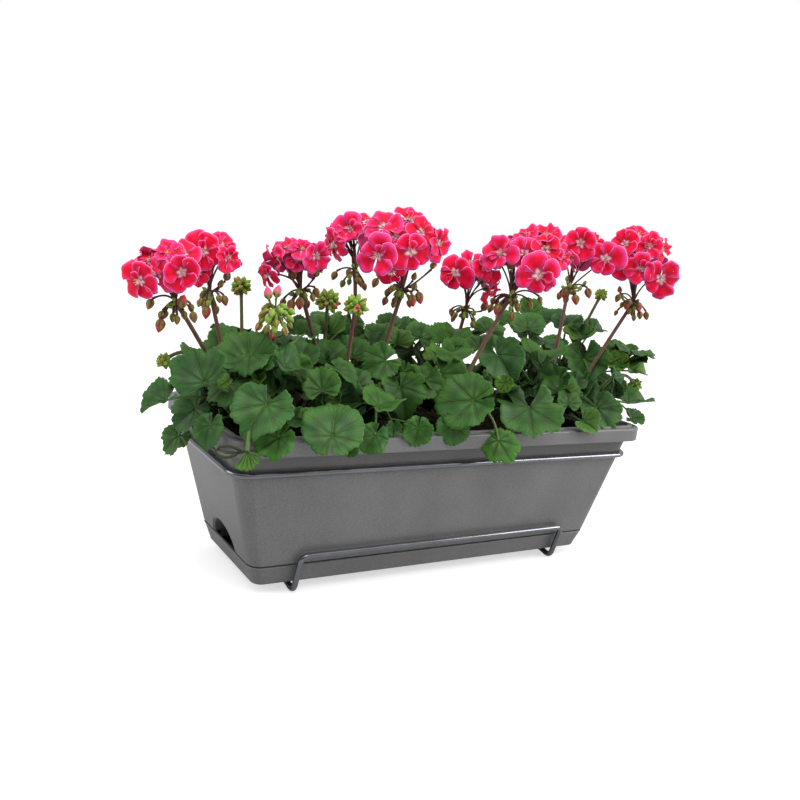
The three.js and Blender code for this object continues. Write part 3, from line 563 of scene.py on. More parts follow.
class Shape:
    """Points, faces and point values gathered for one piece, in millimetres."""

    def __init__(self):
        self.points, self.corners, self.sizes, self.slots = [], [], [], []
        self.values = {}
        self.total = 0

    def add(self, points, faces, slot=0, **values):
        """faces is a list of arrays, each with one face of equal size in a row; slot is a
        number, or one number for each of those arrays."""
        points = np.asarray(points, float).reshape(-1, 3)
        for number, group in enumerate(faces):
            group = np.asarray(group, int)
            self.corners.append((group + self.total).ravel())
            self.sizes.append(np.full(len(group), group.shape[1]))
            own = slot if np.isscalar(slot) else slot[number]
            self.slots.append(np.full(len(group), own))
        for name, value in values.items():
            value = np.broadcast_to(np.asarray(value, float), (len(points),) + np.shape(value)[1:])
            self.values.setdefault(name, []).append(value)
        self.points.append(points)
        self.total += len(points)

    def mesh(self, name, placed=True):
        """A mesh in the frame, or if it isn't placed about its own origin."""
        made = bpy.data.meshes.new(name)
        points = np.concatenate(self.points)
        points = (points + ORIGIN if placed else points) * MM
        made.vertices.add(len(points))
        made.vertices.foreach_set("co", points.ravel())
        if self.corners:
            corners, sizes = np.concatenate(self.corners), np.concatenate(self.sizes)
            made.loops.add(len(corners))
            made.loops.foreach_set("vertex_index", corners)
            made.polygons.add(len(sizes))
            made.polygons.foreach_set("loop_start", np.cumsum(sizes) - sizes)
            made.polygons.foreach_set("material_index", np.concatenate(self.slots))
        for key, parts in self.values.items():
            store(made, key, np.concatenate(parts))
        made.update(calc_edges=True)
        return made


def store(mesh, key, values):
    """Puts a value on each point: a number, three numbers, or four."""
    kinds = {1: ("FLOAT", "value"), 3: ("FLOAT_VECTOR", "vector"), 4: ("FLOAT_COLOR", "color")}
    kind, field = kinds[1 if values.ndim == 1 else values.shape[1]]
    mesh.attributes.new(key, kind, "POINT").data.foreach_set(field, values.ravel())


def new_piece(name, mesh, *materials):
    piece = bpy.data.objects.new(name, mesh)
    bpy.context.scene.collection.objects.link(piece)
    for material in materials:
        mesh.materials.append(material)
    return piece


def settle(piece, slot, *nodes):
    """Hands a finished piece to the frame."""
    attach(piece, BODY)
    if nodes:
        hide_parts(*nodes)


def flatten(piece):
    """Turns a piece and its modifiers into a plain mesh."""
    graph = bpy.context.evaluated_depsgraph_get()
    made = bpy.data.meshes.new_from_object(piece.evaluated_get(graph))
    piece.modifiers.clear()
    piece.data = made
    made.name = piece.name


def grid_faces(rows, columns):
    """Faces of a grid of points that lie row after row."""
    at = np.arange(rows * columns).reshape(rows, columns)
    return np.stack([at[:-1, :-1], at[1:, :-1], at[1:, 1:], at[:-1, 1:]], -1).reshape(-1, 4)


def ring_faces(rings, sides, closed=False):
    """Faces between rings of points, each ring running anticlockwise seen from its end."""
    at = np.arange(rings * sides).reshape(rings, sides)
    above = np.roll(at, -1, 0) if closed else at[1:]
    here = at if closed else at[:-1]
    turned = (np.roll(here, -1, 1), np.roll(above, -1, 1))
    return np.stack([here, turned[0], turned[1], above], -1).reshape(-1, 4)


def loft(shape, rings, **values):
    """A closed solid through rings of points, capped at both ends."""
    rings = np.asarray(rings, float)
    total, sides = rings.shape[:2]
    first = np.arange(sides)[None, ::-1]
    last = np.arange(sides)[None] + (total - 1) * sides
    faces = [ring_faces(total, sides), first, last]
    shape.add(rings.reshape(-1, 3), faces, **values)


def circle(sides):
    """Angles round a full turn."""
    return np.linspace(0, math.tau, sides + 1)[:-1]


def level_ring(angle, reach, height):
    """Points round +Z at one height."""
    return np.column_stack([reach * np.cos(angle), reach * np.sin(angle), height + 0 * angle])


def bezier(start, control, end, steps):
    t = np.linspace(0, 1, steps + 1)[:, None]
    start, control, end = (np.asarray(p, float) for p in (start, control, end))
    return (1 - t) ** 2 * start + 2 * t * (1 - t) * control + t ** 2 * end


def unit(vector):
    vector = np.asarray(vector, float)
    return vector / max(np.linalg.norm(vector), 1e-9)


def direction(azimuth, elevation):
    """Azimuth from the front towards +X and elevation, in degrees."""
    turn, lift = math.radians(azimuth), math.radians(elevation)
    level = math.cos(lift)
    return np.array((math.sin(turn) * level, -math.cos(turn) * level, math.sin(lift)))


# ---- node trees ----

class Nodes:
    """Adds nodes to a tree. Anywhere an input is given, a socket or a plain value will do."""

    def __init__(self, tree):
        self.tree = tree

    def feed(self, socket, value):
        if isinstance(value, bpy.types.NodeSocket):
            self.tree.links.new(value, socket)
        else:
            socket.default_value = value

    def add(self, kind, inputs=None, **options):
        node = self.tree.nodes.new(kind)
        for name, value in options.items():
            setattr(node, name, value)
        for key, value in (inputs or {}).items():
            self.feed(node.inputs[key], value)
        return node

    def math(self, operation, *values):
        node = self.add("ShaderNodeMath", dict(enumerate(values)), operation=operation)
        return node.outputs[0]

    def times(self, *values):
        return self.math("MULTIPLY", *values)

    def plus(self, *values):
        return self.math("ADD", *values)

    def minus(self, *values):
        return self.math("SUBTRACT", *values)

    def absolute(self, value):
        return self.math("ABSOLUTE", value)

    def comb(self, value, teeth):
        """The size of a sine that swings as often as the teeth say."""
        return self.absolute(self.math("SINE", self.times(value, teeth)))

    def ramp(self, value, low, high, start=0.0, end=1.0):
        """Runs smoothly from start to end while value runs from low to high."""
        inputs = {0: value, 1: low, 2: high, 3: start, 4: end}
        node = self.add("ShaderNodeMapRange", inputs, interpolation_type="SMOOTHSTEP")
        return node.outputs[0]

    def mix(self, factor, first, second):
        node = self.add("ShaderNodeMix", data_type="RGBA")
        for index, value in ((0, factor), (6, first), (7, second)):
            colour_like = not isinstance(value, bpy.types.NodeSocket) and index
            self.feed(node.inputs[index], (*value, 1.0) if colour_like else value)
        return node.outputs[2]

    def coordinates(self):
        return self.add("ShaderNodeTexCoord").outputs["Object"]

    def axes(self, vector):
        """The three numbers of a vector."""
        node = self.add("ShaderNodeSeparateXYZ", {0: vector})
        return node.outputs[0], node.outputs[1], node.outputs[2]

    def noise(self, scale, detail, roughness=0.55):
        inputs = {"Vector": self.coordinates(), "Scale": scale,
                  "Detail": detail, "Roughness": roughness}
        return self.add("ShaderNodeTexNoise", inputs).outputs[0]

    def attribute(self, name):
        return self.add("ShaderNodeAttribute", attribute_name=name)

    def parts(self, socket):
        node = self.add("ShaderNodeSeparateColor", {0: socket})
        return node.outputs[0], node.outputs[1], node.outputs[2]

    def bump(self, height, strength, distance):
        inputs = {"Height": height, "Strength": strength, "Distance": distance * MM}
        return self.add("ShaderNodeBump", inputs).outputs[0]


def material(name, recipe, own, roughness=0.5, metallic=0.0, specular=0.5, sheen=0.0, coat=0.0):
    """A material whose recipe gives its colour, and what else differs from place to place."""
    made = bpy.data.materials.new(name)
    made.use_nodes = True
    shader = made.node_tree.nodes["Principled BSDF"]
    fixed = {"Roughness": roughness, "Metallic": metallic, "Specular IOR Level": specular,
             "Sheen Weight": sheen, "Coat Weight": coat}
    for key, value in fixed.items():
        shader.inputs[key].default_value = value
    nodes = Nodes(made.node_tree)
    for key, value in recipe(nodes, own).items():
        nodes.feed(shader.inputs[key], value)
    return made


# ---- finishes ----

def surface(group, **look):
    """Turns a recipe into the material that all pieces which ask for it share."""
    def wrap(recipe):
        def get():
            name = recipe.__name__
            made = bpy.data.materials.get(name)
            return made or material(name, recipe, settings(group), **look)
        return get
    return wrap


@surface("box")
def moulded_plastic(nodes, own):
    grain = nodes.noise(1100, 2)
    cloud = nodes.noise(14, 3)
    dark = tuple(c * (1 - own.speckle) for c in own.plastic)
    light = tuple(c * (1 + own.speckle) for c in own.plastic)
    tone = nodes.mix(nodes.ramp(grain, 0.3, 0.7), dark, light)
    tone = nodes.mix(nodes.ramp(cloud, 0.35, 0.7, 0.0, 0.12), tone, (0.34, 0.34, 0.34))
    # Painted shade: the neck under the rim darkens towards the rim, first to the speckle's dark tone
    # and then further towards black, and stops where the rim begins.
    height = nodes.axes(nodes.coordinates())[2]
    neck = nodes.times(nodes.ramp(height, *NECK_SHADE, 0.0, 0.40),
                       nodes.ramp(height, *RIM_START, 1.0, 0.0))
    tone = nodes.mix(neck, tone, dark)
    tone = nodes.mix(nodes.times(neck, 0.7), tone, (0.02, 0.02, 0.02))
    return {"Base Color": tone,
            "Roughness": nodes.ramp(cloud, 0.3, 0.7, 0.33, 0.40),
            "Normal": nodes.bump(grain, 0.35, 0.12)}


@surface("box", metallic=0.85, specular=0.6, coat=0.3)
def lacquered_wire(nodes, own):
    haze = nodes.noise(25, 2)
    light = tuple(min(1.0, c * 1.25) for c in own.wire)
    tone = nodes.mix(nodes.ramp(haze, 0.35, 0.7), own.wire, light)
    return {"Base Color": tone, "Roughness": nodes.ramp(haze, 0.3, 0.7, 0.17, 0.20)}


@surface("box", roughness=0.95, specular=0.2)
def potting_soil(nodes, own):
    clod = nodes.noise(220, 6, 0.7)
    tone = nodes.mix(nodes.ramp(clod, 0.42, 0.7), own.soil_dark, own.soil_light)
    return {"Base Color": tone, "Normal": nodes.bump(clod, 0.9, 2.0)}


def vein_place(nodes, around):
    """Which main vein a point is at, counted round the blade, and how far from the nearest."""
    place = nodes.times(nodes.minus(around, 0.5), LOBE_ROOM)
    return place, nodes.minus(nodes.math("FRACT", nodes.plus(place, 0.5)), 0.5)


def vein_pattern(nodes, around, out):
    """Main veins to the lobes, and two pairs of branches that leave each of them."""
    _, apart = vein_place(nodes, around)
    angle = nodes.times(nodes.absolute(apart), LOBE_SPAN)
    found = None
    for start, slope, width in ((0.0, 0.0, 0.013), (0.30, 0.50, 0.008), (0.52, 0.42, 0.007)):
        turned = nodes.times(nodes.minus(out, start), slope)
        line = nodes.absolute(nodes.minus(angle, turned))
        away = nodes.times(line, out)
        mask = nodes.ramp(away, width * 0.4, width * 1.7, 1.0, 0.0)
        if start:
            mask = nodes.times(mask, nodes.ramp(out, start, start + 0.06))
        found = mask if found is None else nodes.math("MAXIMUM", found, mask)
    return found


def vein_shade(nodes, around, out):
    """Dark creases, partly the leaf's darker green near its veins and partly painted shade in the
    folds: a broad one along each main vein, and fine ones towards the edge.
    """
    place, apart = vein_place(nodes, around)
    away = nodes.times(nodes.absolute(apart), out)
    main = nodes.times(nodes.ramp(away, 0.0, 0.12, 1.0, 0.0), nodes.ramp(out, 0.95, 0.6))
    comb = nodes.comb(place, 12.57)
    fine = nodes.times(nodes.ramp(comb, 0.0, 0.45, 0.42, 0.0), nodes.ramp(out, 0.45, 0.85))
    return nodes.math("MAXIMUM", main, fine)


def inner_shade(nodes):
    """Painted shade: darker towards the soil, behind the front row of leaves and between those at the
    ends.
    """
    along, depth, height = nodes.axes(nodes.coordinates())
    low = nodes.ramp(height, *SHADE_HEIGHTS, 0.72, 0.0)
    behind = nodes.times(nodes.ramp(depth, *SHADE_DEPTHS), nodes.ramp(along, *SHADE_LEFT, 0.25, 1.0))
    between = nodes.times(behind, nodes.ramp(along, *SHADE_RIGHT, 1.0, 0.35))
    return nodes.times(low, between)


@surface("leaf", specular=0.24)
def leaf_face(nodes, own):
    blade = nodes.attribute("blade")
    around, out, tint = nodes.parts(blade.outputs["Color"])
    age = blade.outputs["Alpha"]
    cloud = nodes.noise(45, 3)
    veins = vein_pattern(nodes, around, out)
    tone = nodes.mix(nodes.ramp(tint, 0.2, 0.8), own.face, own.cool)
    tone = nodes.mix(nodes.ramp(cloud, 0.3, 0.7, 0.0, 0.35), tone, own.fresh)
    zone = nodes.times(nodes.ramp(out, 0.30, 0.50), nodes.ramp(out, 0.55, 0.80, 1, 0))
    tone = nodes.mix(nodes.times(zone, 0.45), tone, own.deep)
    heart = nodes.ramp(out, 0.0, 0.22, 0.55, 0.0)
    tone = nodes.mix(heart, tone, own.fresh)
    tone = nodes.mix(age, tone, own.newest)
    # Partly the darker green near the veins, partly painted shade in the creases along them.
    crease_tone_and_shade = nodes.times(vein_shade(nodes, around, out), 0.68)
    tone = nodes.mix(crease_tone_and_shade, tone, own.deep)
    tone = nodes.mix(nodes.times(veins, 0.13), tone, own.vein)
    edge = nodes.ramp(out, 0.975, 1.0, 0.0, 0.25)
    tone = nodes.mix(edge, tone, own.vein)
    # Painted shade on the leaves far inside the plants, towards the soil.
    tone = nodes.mix(inner_shade(nodes), tone, tuple(c * 0.35 for c in own.deep))
    skin = nodes.noise(900, 3)
    height = nodes.minus(nodes.times(skin, 0.5), veins)
    return {"Base Color": tone, "Normal": nodes.bump(height, 0.45, 0.35),
            "Roughness": nodes.ramp(skin, 0.3, 0.7, 0.42, 0.56)}


@surface("leaf", roughness=0.68, specular=0.2, sheen=0.12)
def leaf_back(nodes, own):
    around, out, _ = nodes.parts(nodes.attribute("blade").outputs["Color"])
    veins = vein_pattern(nodes, around, out)
    tone = nodes.mix(nodes.ramp(nodes.noise(60, 3), 0.3, 0.7), own.back, own.cool)
    tone = nodes.mix(nodes.times(veins, 0.6), tone, own.vein)
    return {"Base Color": tone, "Normal": nodes.bump(veins, 0.5, 0.5)}


@surface("leaf", roughness=0.55, specular=0.3, sheen=0.1)
def green_stalk(nodes, own):
    woody = nodes.attribute("woody").outputs["Fac"]
    patch = nodes.noise(160, 3)
    fresh = nodes.mix(nodes.ramp(patch, 0.4, 0.75, 0.0, 0.5), own.petiole, own.fresh)
    tone = nodes.mix(woody, fresh, own.wood)
    return {"Base Color": tone, "Normal": nodes.bump(nodes.noise(1100, 2), 0.3, 0.25)}


@surface("flower", roughness=0.6, specular=0.3, sheen=0.2)
def flower_stalk(nodes, own):
    young = nodes.attribute("young").outputs["Fac"]
    fine = nodes.attribute("fine").outputs["Fac"]
    streaks = nodes.noise(240, 3)
    shade = tuple(c * 0.7 for c in own.stalk)
    brown = nodes.mix(nodes.ramp(streaks, 0.35, 0.7), shade, own.stalk)
    thick = nodes.mix(young, brown, own.stalk_green)
    brown_streaks = nodes.ramp(streaks, 0.4, 0.7, 0.0, 0.25)
    thin = nodes.mix(young, own.pedicel, own.bud)
    thin = nodes.mix(brown_streaks, thin, own.bud_brown)
    return {"Base Color": nodes.mix(fine, thick, thin),
            "Normal": nodes.bump(nodes.noise(1300, 2), 0.4, 0.3)}


def petal_side(nodes, middle, edge, line):
    """Petal colours from the middle to the edge, and the petal's own coordinates."""
    across, along, back = nodes.axes(nodes.attribute("petal").outputs["Vector"])
    tint = nodes.attribute("tint").outputs["Fac"]
    side = nodes.absolute(nodes.times(nodes.minus(across, 0.5), 2))
    flank = nodes.times(nodes.minus(1, side), along)
    inward = nodes.math("MINIMUM", flank, nodes.minus(1, along))
    cloud = nodes.times(nodes.minus(nodes.noise(150, 3), 0.5), 0.16)
    band = nodes.plus(0.12, nodes.times(tint, 0.28))
    share = nodes.math("DIVIDE", nodes.plus(inward, cloud), band)
    tone = nodes.mix(nodes.ramp(share, 0.0, 1.0, 0.92, 0.0), middle, edge)
    tone = nodes.mix(nodes.ramp(inward, 0.006, 0.028, 0.85, 0.0), tone, line)
    return tone, across, along, back


@surface("flower", roughness=0.55, specular=0.15)
def petal_skin(nodes, own):
    edge, line = own.petal_edge, own.petal_line
    tone, across, along, back = petal_side(nodes, own.petal, edge, line)
    # Painted shade towards the throat, where the petals overlap and cup.
    tone = nodes.mix(nodes.ramp(along, 0.22, 0.66, 0.62, 0.0), tone, own.petal_deep)
    fine = nodes.times(nodes.ramp(nodes.comb(across, 41), 0.0, 0.6, 0.30, 0.0),
                       nodes.ramp(along, 0.95, 0.5))
    tone = nodes.mix(fine, tone, own.petal_deep)
    lines = nodes.times(nodes.ramp(nodes.comb(across, 19), 0.0, 0.5, 0.6, 0.0),
                        nodes.ramp(along, 0.26, 0.60, 1.0, 0.0))
    tone = nodes.mix(lines, tone, own.streak)
    middle = nodes.absolute(nodes.minus(across, 0.5))
    star = nodes.plus(along, nodes.times(middle, 0.28))
    tone = nodes.mix(nodes.ramp(star, 0.17, 0.36, 0.95, 0.0), tone, own.throat)
    rear = petal_side(nodes, own.petal_back, edge, line)[0]
    ribs = nodes.math("SINE", nodes.times(across, 60))
    return {"Base Color": nodes.mix(back, tone, rear), "Normal": nodes.bump(ribs, 0.12, 0.15)}


@surface("flower", roughness=0.6, specular=0.3)
def stamens(nodes, own):
    pollen = nodes.attribute("pollen").outputs["Fac"]
    grain = nodes.noise(1500, 2)
    tone = nodes.mix(nodes.ramp(pollen, 0.4, 0.6), own.filament, own.anther)
    return {"Base Color": nodes.mix(nodes.times(grain, 0.2), tone, own.throat)}


@surface("flower", roughness=0.55, specular=0.3, sheen=0.1)
def bud_skin(nodes, own):
    along, ridge, ripe = nodes.axes(nodes.attribute("bud").outputs["Vector"])
    tint = nodes.attribute("tint").outputs["Fac"]
    flush = nodes.times(nodes.ramp(nodes.noise(300, 3), 0.3, 0.6, 0.35, 1.0), tint)
    tone = nodes.mix(flush, own.bud, own.bud_brown)
    seam = nodes.times(nodes.ramp(ridge, 0.70, 0.15, 0.0, 1.0), nodes.ramp(ripe, 0.0, 0.3, 0.08, 0.95))
    tone = nodes.mix(seam, tone, own.bud_seam)
    reach = nodes.minus(1.04, nodes.times(ripe, 0.62))
    reach = nodes.plus(reach, nodes.times(ridge, 0.40))
    open_tip = nodes.ramp(nodes.minus(along, reach), 0.0, 0.06)
    tip = nodes.mix(nodes.ramp(ripe, 1.0, 1.3), own.bud_tip, own.petal_back)
    return {"Base Color": nodes.mix(open_tip, tone, tip),
            "Normal": nodes.bump(nodes.noise(900, 2), 0.3, 0.25)}


@surface("studio", roughness=0.9, specular=0.0)
def pale_floor(nodes, own):
    shade = tuple(c * 0.985 for c in own.floor)
    seen = nodes.add("ShaderNodeLightPath").outputs["Is Camera Ray"]
    return {"Base Color": nodes.mix(nodes.noise(3, 2), shade, own.floor),
            "Emission Color": (1, 1, 1, 1), "Emission Strength": nodes.times(seen, own.glow)}


# ---- geometry node trees ----

def geometry_tree(name, *sockets):
    """A tree with a geometry in and out, and the named inputs."""
    tree = bpy.data.node_groups.new(name, "GeometryNodeTree")
    tree.interface.new_socket("Geometry", in_out="INPUT", socket_type="NodeSocketGeometry")
    for label, kind in sockets:
        tree.interface.new_socket(label, in_out="INPUT", socket_type="NodeSocket" + kind)
    tree.interface.new_socket("Geometry", in_out="OUTPUT", socket_type="NodeSocketGeometry")
    nodes = Nodes(tree)
    return nodes, nodes.add("NodeGroupInput").outputs


def close_tree(nodes, geometry, finish):
    """Ends a tree: real geometry, smooth, in its material."""
    real = nodes.add("GeometryNodeRealizeInstances", {0: geometry}).outputs[0]
    smooth = nodes.add("GeometryNodeSetShadeSmooth", {0: real}).outputs[0]
    done = nodes.add("GeometryNodeSetMaterial", {0: smooth, "Material": finish}).outputs[0]
    nodes.feed(nodes.add("NodeGroupOutput").inputs[0], done)
    return nodes.tree


def grow(piece, tree, **inputs):
    """Runs a tree on a piece, with its inputs set by their identifiers, and flattens it."""
    modifier = piece.modifiers.new("Grow", "NODES")
    modifier.node_group = tree
    sockets = {s.name: s.identifier for s in tree.interface.items_tree if s.in_out == "INPUT"}
    for label, value in inputs.items():
        modifier[sockets[label]] = value
    flatten(piece)
    return piece


def named(nodes, name, kind):
    node = nodes.add("GeometryNodeInputNamedAttribute", {"Name": name}, data_type=kind)
    return node.outputs["Attribute"]


def instances(nodes, points, shapes, placing):
    """One of a collection's shapes on each point."""
    parts = {"Collection": shapes, "Separate Children": True, "Reset Children": True}
    picks = nodes.add("GeometryNodeCollectionInfo", parts).outputs[0]
    inputs = {"Points": points, "Instance": picks, "Pick Instance": True, **placing}
    return nodes.add("GeometryNodeInstanceOnPoints", inputs).outputs[0]


def rod_tree():
    """Round rods along paths, as thick as each path's points say."""
    if "Rods along paths" in bpy.data.node_groups:
        return bpy.data.node_groups["Rods along paths"]
    nodes, inputs = geometry_tree("Rods along paths", ("Sides", "Int"), ("Material", "Material"))
    curve = nodes.add("GeometryNodeMeshToCurve", {0: inputs["Geometry"]}).outputs[0]
    ring = nodes.add("GeometryNodeCurvePrimitiveCircle",
                     {"Resolution": inputs["Sides"], "Radius": 1.0}).outputs[0]
    solid = nodes.add("GeometryNodeCurveToMesh",
                      {"Curve": curve, "Profile Curve": ring, "Fill Caps": True,
                       "Scale": named(nodes, "half_width", "FLOAT")}).outputs[0]
    return close_tree(nodes, solid, inputs["Material"])


def scatter_tree():
    """One of several small shapes on each point, turned and sized as the points say."""
    if "Shapes on points" in bpy.data.node_groups:
        return bpy.data.node_groups["Shapes on points"]
    nodes, inputs = geometry_tree(
        "Shapes on points", ("Shapes", "Collection"), ("Material", "Material"))
    placing = {"Instance Index": named(nodes, "pick", "INT"),
               "Rotation": named(nodes, "turned", "FLOAT_VECTOR"),
               "Scale": named(nodes, "size", "FLOAT")}
    placed = instances(nodes, inputs["Geometry"], inputs["Shapes"], placing)
    return close_tree(nodes, placed, inputs["Material"])


def crumb_tree():
    """Crumbs strewn over a surface."""
    nodes, inputs = geometry_tree(
        "Crumbs on a surface", ("Crumb", "Collection"), ("Density", "Float"), ("Seed", "Int"),
        ("Smallest", "Float"), ("Largest", "Float"), ("Material", "Material"))
    points = nodes.add("GeometryNodeDistributePointsOnFaces",
                       {"Mesh": inputs["Geometry"], "Density": inputs["Density"],
                        "Seed": inputs["Seed"], "Selection": upward(nodes)}).outputs[0]
    turned = nodes.add("FunctionNodeRandomValue", {"Seed": inputs["Seed"]}, data_type="FLOAT_VECTOR")
    turned.inputs[1].default_value = (math.tau,) * 3
    size = nodes.add("FunctionNodeRandomValue", {"Seed": inputs["Seed"]}, data_type="FLOAT_VECTOR")
    nodes.feed(size.inputs[0], inputs["Smallest"])
    nodes.feed(size.inputs[1], inputs["Largest"])
    placing = {"Rotation": turned.outputs[0], "Scale": size.outputs[0]}
    placed = instances(nodes, points, inputs["Crumb"], placing)
    return close_tree(nodes, placed, inputs["Material"])


def upward(nodes):
    """True on faces that look up."""
    normal = nodes.add("GeometryNodeInputNormal").outputs[0]
    return nodes.math("GREATER_THAN", nodes.axes(normal)[2], 0.5)


def kit(name, meshes):
    """Small shapes for a tree to pick from; they are in no scene."""
    made = bpy.data.collections.new(name)
    for number, mesh in enumerate(meshes):
        made.objects.link(bpy.data.objects.new(f"{name}_{number:02d}", mesh))
    return made


def clear_kit(made):
    for item in list(made.objects):
        bpy.data.objects.remove(item)
    bpy.data.collections.remove(made)


def rods(name, paths, finish, sides):
    """paths is a list of (points, half widths, values, closed); all of it becomes one piece."""
    shape = Shape()
    edges = []
    for points, widths, values, closed in paths:
        first, total = shape.total, len(points)
        run = np.arange(first, first + total)
        edges.append(np.stack([run[:-1], run[1:]], 1))
        if closed:
            edges.append([(run[-1], run[0])])
        shape.add(points, [], half_width=np.broadcast_to(widths, total) * MM, **values)
    mesh = shape.mesh(name)
    edges = np.concatenate(edges)
    mesh.edges.add(len(edges))
    mesh.edges.foreach_set("vertices", edges.ravel())
    mesh.update()
    return grow(new_piece(name, mesh), rod_tree(), Sides=sides, Material=finish)


# ---- box: outlines and lofts ----

def layout_origin():
    """Where the layout's origin, the middle of the tray's underside, stands in the frame."""
    low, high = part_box("water_tray")
    return np.array(((low.x + high.x) / 2, (low.y + high.y) / 2, low.z)) / MM


ORIGIN = layout_origin()


def body_section(height):
    """The trough's outside at a height, between its foot and its neck."""
    return BODY_FOOT + (NECK - BODY_FOOT) * (height - BODY_BOTTOM) / (RIM_BOTTOM - BODY_BOTTOM)


def tray_section(height):
    top = BODY_FOOT - TRAY_INSET
    return TRAY_FOOT + (top - TRAY_FOOT) * (height - TRAY_WALL) / (TRAY_HEIGHT - TRAY_WALL)


def outline(section, height, grow=0.0):
    """Points of a rounded rectangle at one height, anticlockwise seen from above."""
    half_length, half_width, radius = section
    corner = max(radius + grow, 1.0)
    middle = np.array((half_length + grow - corner, half_width + grow - corner))
    arcs = []
    for quarter, side in enumerate(((1, -1), (1, 1), (-1, 1), (-1, -1))):
        angle = (quarter - 1 + np.linspace(0, 1, CORNER_STEPS + 1)) * math.pi / 2
        arcs.append(middle * side + corner * np.stack([np.cos(angle), np.sin(angle)], 1))
    runs = []
    for arc, following in zip(arcs, arcs[1:] + arcs[:1]):
        runs += [arc, arc[-1] * (1 - STRAIGHT_SHARES) + following[0] * STRAIGHT_SHARES]
    ring = np.concatenate(runs)
    return np.column_stack([ring, np.full(len(ring), height)])


def rounded(section, height, grow, radius, start, end, steps=4):
    """Outlines round an edge: an upright arc about that height and growth, angles from level."""
    angles = np.radians(np.linspace(start, end, steps + 1))
    return [outline(section, height + radius * math.sin(a), grow + radius * math.cos(a))
            for a in angles]


def trough_rings():
    """From the foot up the outside, under the flange, over the rim and down the inside."""
    edge = settings("box").top_edge / MM
    ceiling = BOX_HEIGHT - FLANGE_TOP
    lip_top = BOX_HEIGHT + LIP_RISE
    lip_out = -RIM_BAND - RIM_GROOVE
    rings = rounded(BODY_FOOT, BODY_BOTTOM + 0.8, -SEAM_DEPTH - 0.8, 0.8, -90, 0)
    rings += [outline(body_section(SEAM_LOW), SEAM_LOW, -SEAM_DEPTH)]
    rings += rounded(body_section(SEAM_HIGH), SEAM_HIGH, -0.6, 0.6, -60, 0)
    rings += [outline(body_section(z), z) for z in (24, 60, 100, 132, RIM_BOTTOM)]
    rings += [outline(NECK, ceiling - 1.5, WALL - 0.4)]
    rings += [outline(NECK, ceiling, WALL + 1)]
    rings += [outline(RIM, ceiling, -FLANGE_WALL - 1.5)]
    rings += [outline(RIM, ceiling - 1.5, -FLANGE_WALL)]
    rings += rounded(RIM, RIM_BOTTOM + 0.9, 0.9 - FLANGE_WALL, 0.9, 180, 270)
    rings += rounded(RIM, RIM_BOTTOM + 0.9, -0.9, 0.9, -90, 0)
    rings += [outline(RIM, RIM_BOTTOM + 3), outline(RIM, BOX_HEIGHT - 3)]
    rings += rounded(RIM, BOX_HEIGHT - edge, -edge, edge, 0, 90)
    rings += [outline(RIM, BOX_HEIGHT, 1 - RIM_BAND)]
    rings += rounded(RIM, BOX_HEIGHT - 0.4, 0.4 - RIM_BAND, 0.4, 90, 150, 2)
    rings += [outline(RIM, BOX_HEIGHT - RIM_GROOVE, lip_out + 0.4)]
    rings += rounded(RIM, lip_top - 0.7, lip_out - 0.7, 0.7, 0, 90)
    rings += rounded(RIM, lip_top - 0.8, lip_out - LIP_WIDTH + 0.8, 0.8, 90, 180)
    low = BODY_BOTTOM + WALL
    for height, grow in ((RIM_BOTTOM - WALL, 0), (low + 3, 0), (low, -3)):
        rings += [outline(body_section(height), height, grow - WALL)]
    return rings


def tray_rings():
    """From the foot up the outside, over the top edge and down the inside."""
    rings = rounded(TRAY_FOOT, TRAY_WALL, -TRAY_WALL, TRAY_WALL, -90, 0)
    rings += [outline(tray_section(z), z) for z in (6, 14, 16.5)]
    top = TRAY_HEIGHT - 0.7
    rings += rounded(tray_section(top), top, TRAY_LIP - 0.7, 0.7, 0, 90, 3)
    rings += rounded(tray_section(top), top, 0.7 - TRAY_WALL, 0.7, 90, 180, 3)
    rings += [outline(tray_section(z), z, -TRAY_WALL) for z in (14, 6)]
    rings += [outline(TRAY_FOOT, TRAY_WALL, -TRAY_WALL - 3)]
    return rings


def arch_section(inset, widen, base):
    """An arch with upright legs that follows the slope of the left end wall."""
    angle = np.linspace(0, math.pi, 33)
    width, height = ARCH_HALF_WIDTH + widen, ARCH_HEIGHT + widen
    y = np.concatenate([width * np.cos(angle), [-width, width]])
    z = np.concatenate([BODY_BOTTOM + height * np.sin(angle), [base, base]])
    return np.column_stack([inset - BODY_FOOT[0] - END_SLOPE * (z - BODY_BOTTOM), y, z])


def arch_back(widen, base, depth, shrink=0.0):
    """The upright end of the niche."""
    ring = arch_section(0, widen - shrink, base)
    ring[:, 0] = depth - BODY_FOOT[0]
    return ring


def niche_housing():
    thick = NICHE_WALL
    shape = Shape()
    base = BODY_BOTTOM + 0.4
    loft(shape, [arch_section(NICHE_SET_BACK, thick, base),
                 arch_back(thick, base, NICHE_DEPTH + thick - 2),
                 arch_back(thick, base, NICHE_DEPTH + thick, 2)])
    return shape


def niche_skirt():
    """The niche's walls go on for a few millimetres below the floor, into the water."""
    thick = NICHE_WALL
    width = ARCH_HALF_WIDTH + thick
    depth = NICHE_DEPTH + thick
    corners = ((-width, SKIRT_START), (width, SKIRT_START), (width, depth), (-width, depth))
    shape = Shape()
    ring = np.array([(x - BODY_FOOT[0], y, 0) for y, x in corners])[::-1]
    loft(shape, [ring + (0, 0, SKIRT_BOTTOM), ring + (0, 0, BODY_BOTTOM + 1)])
    return shape


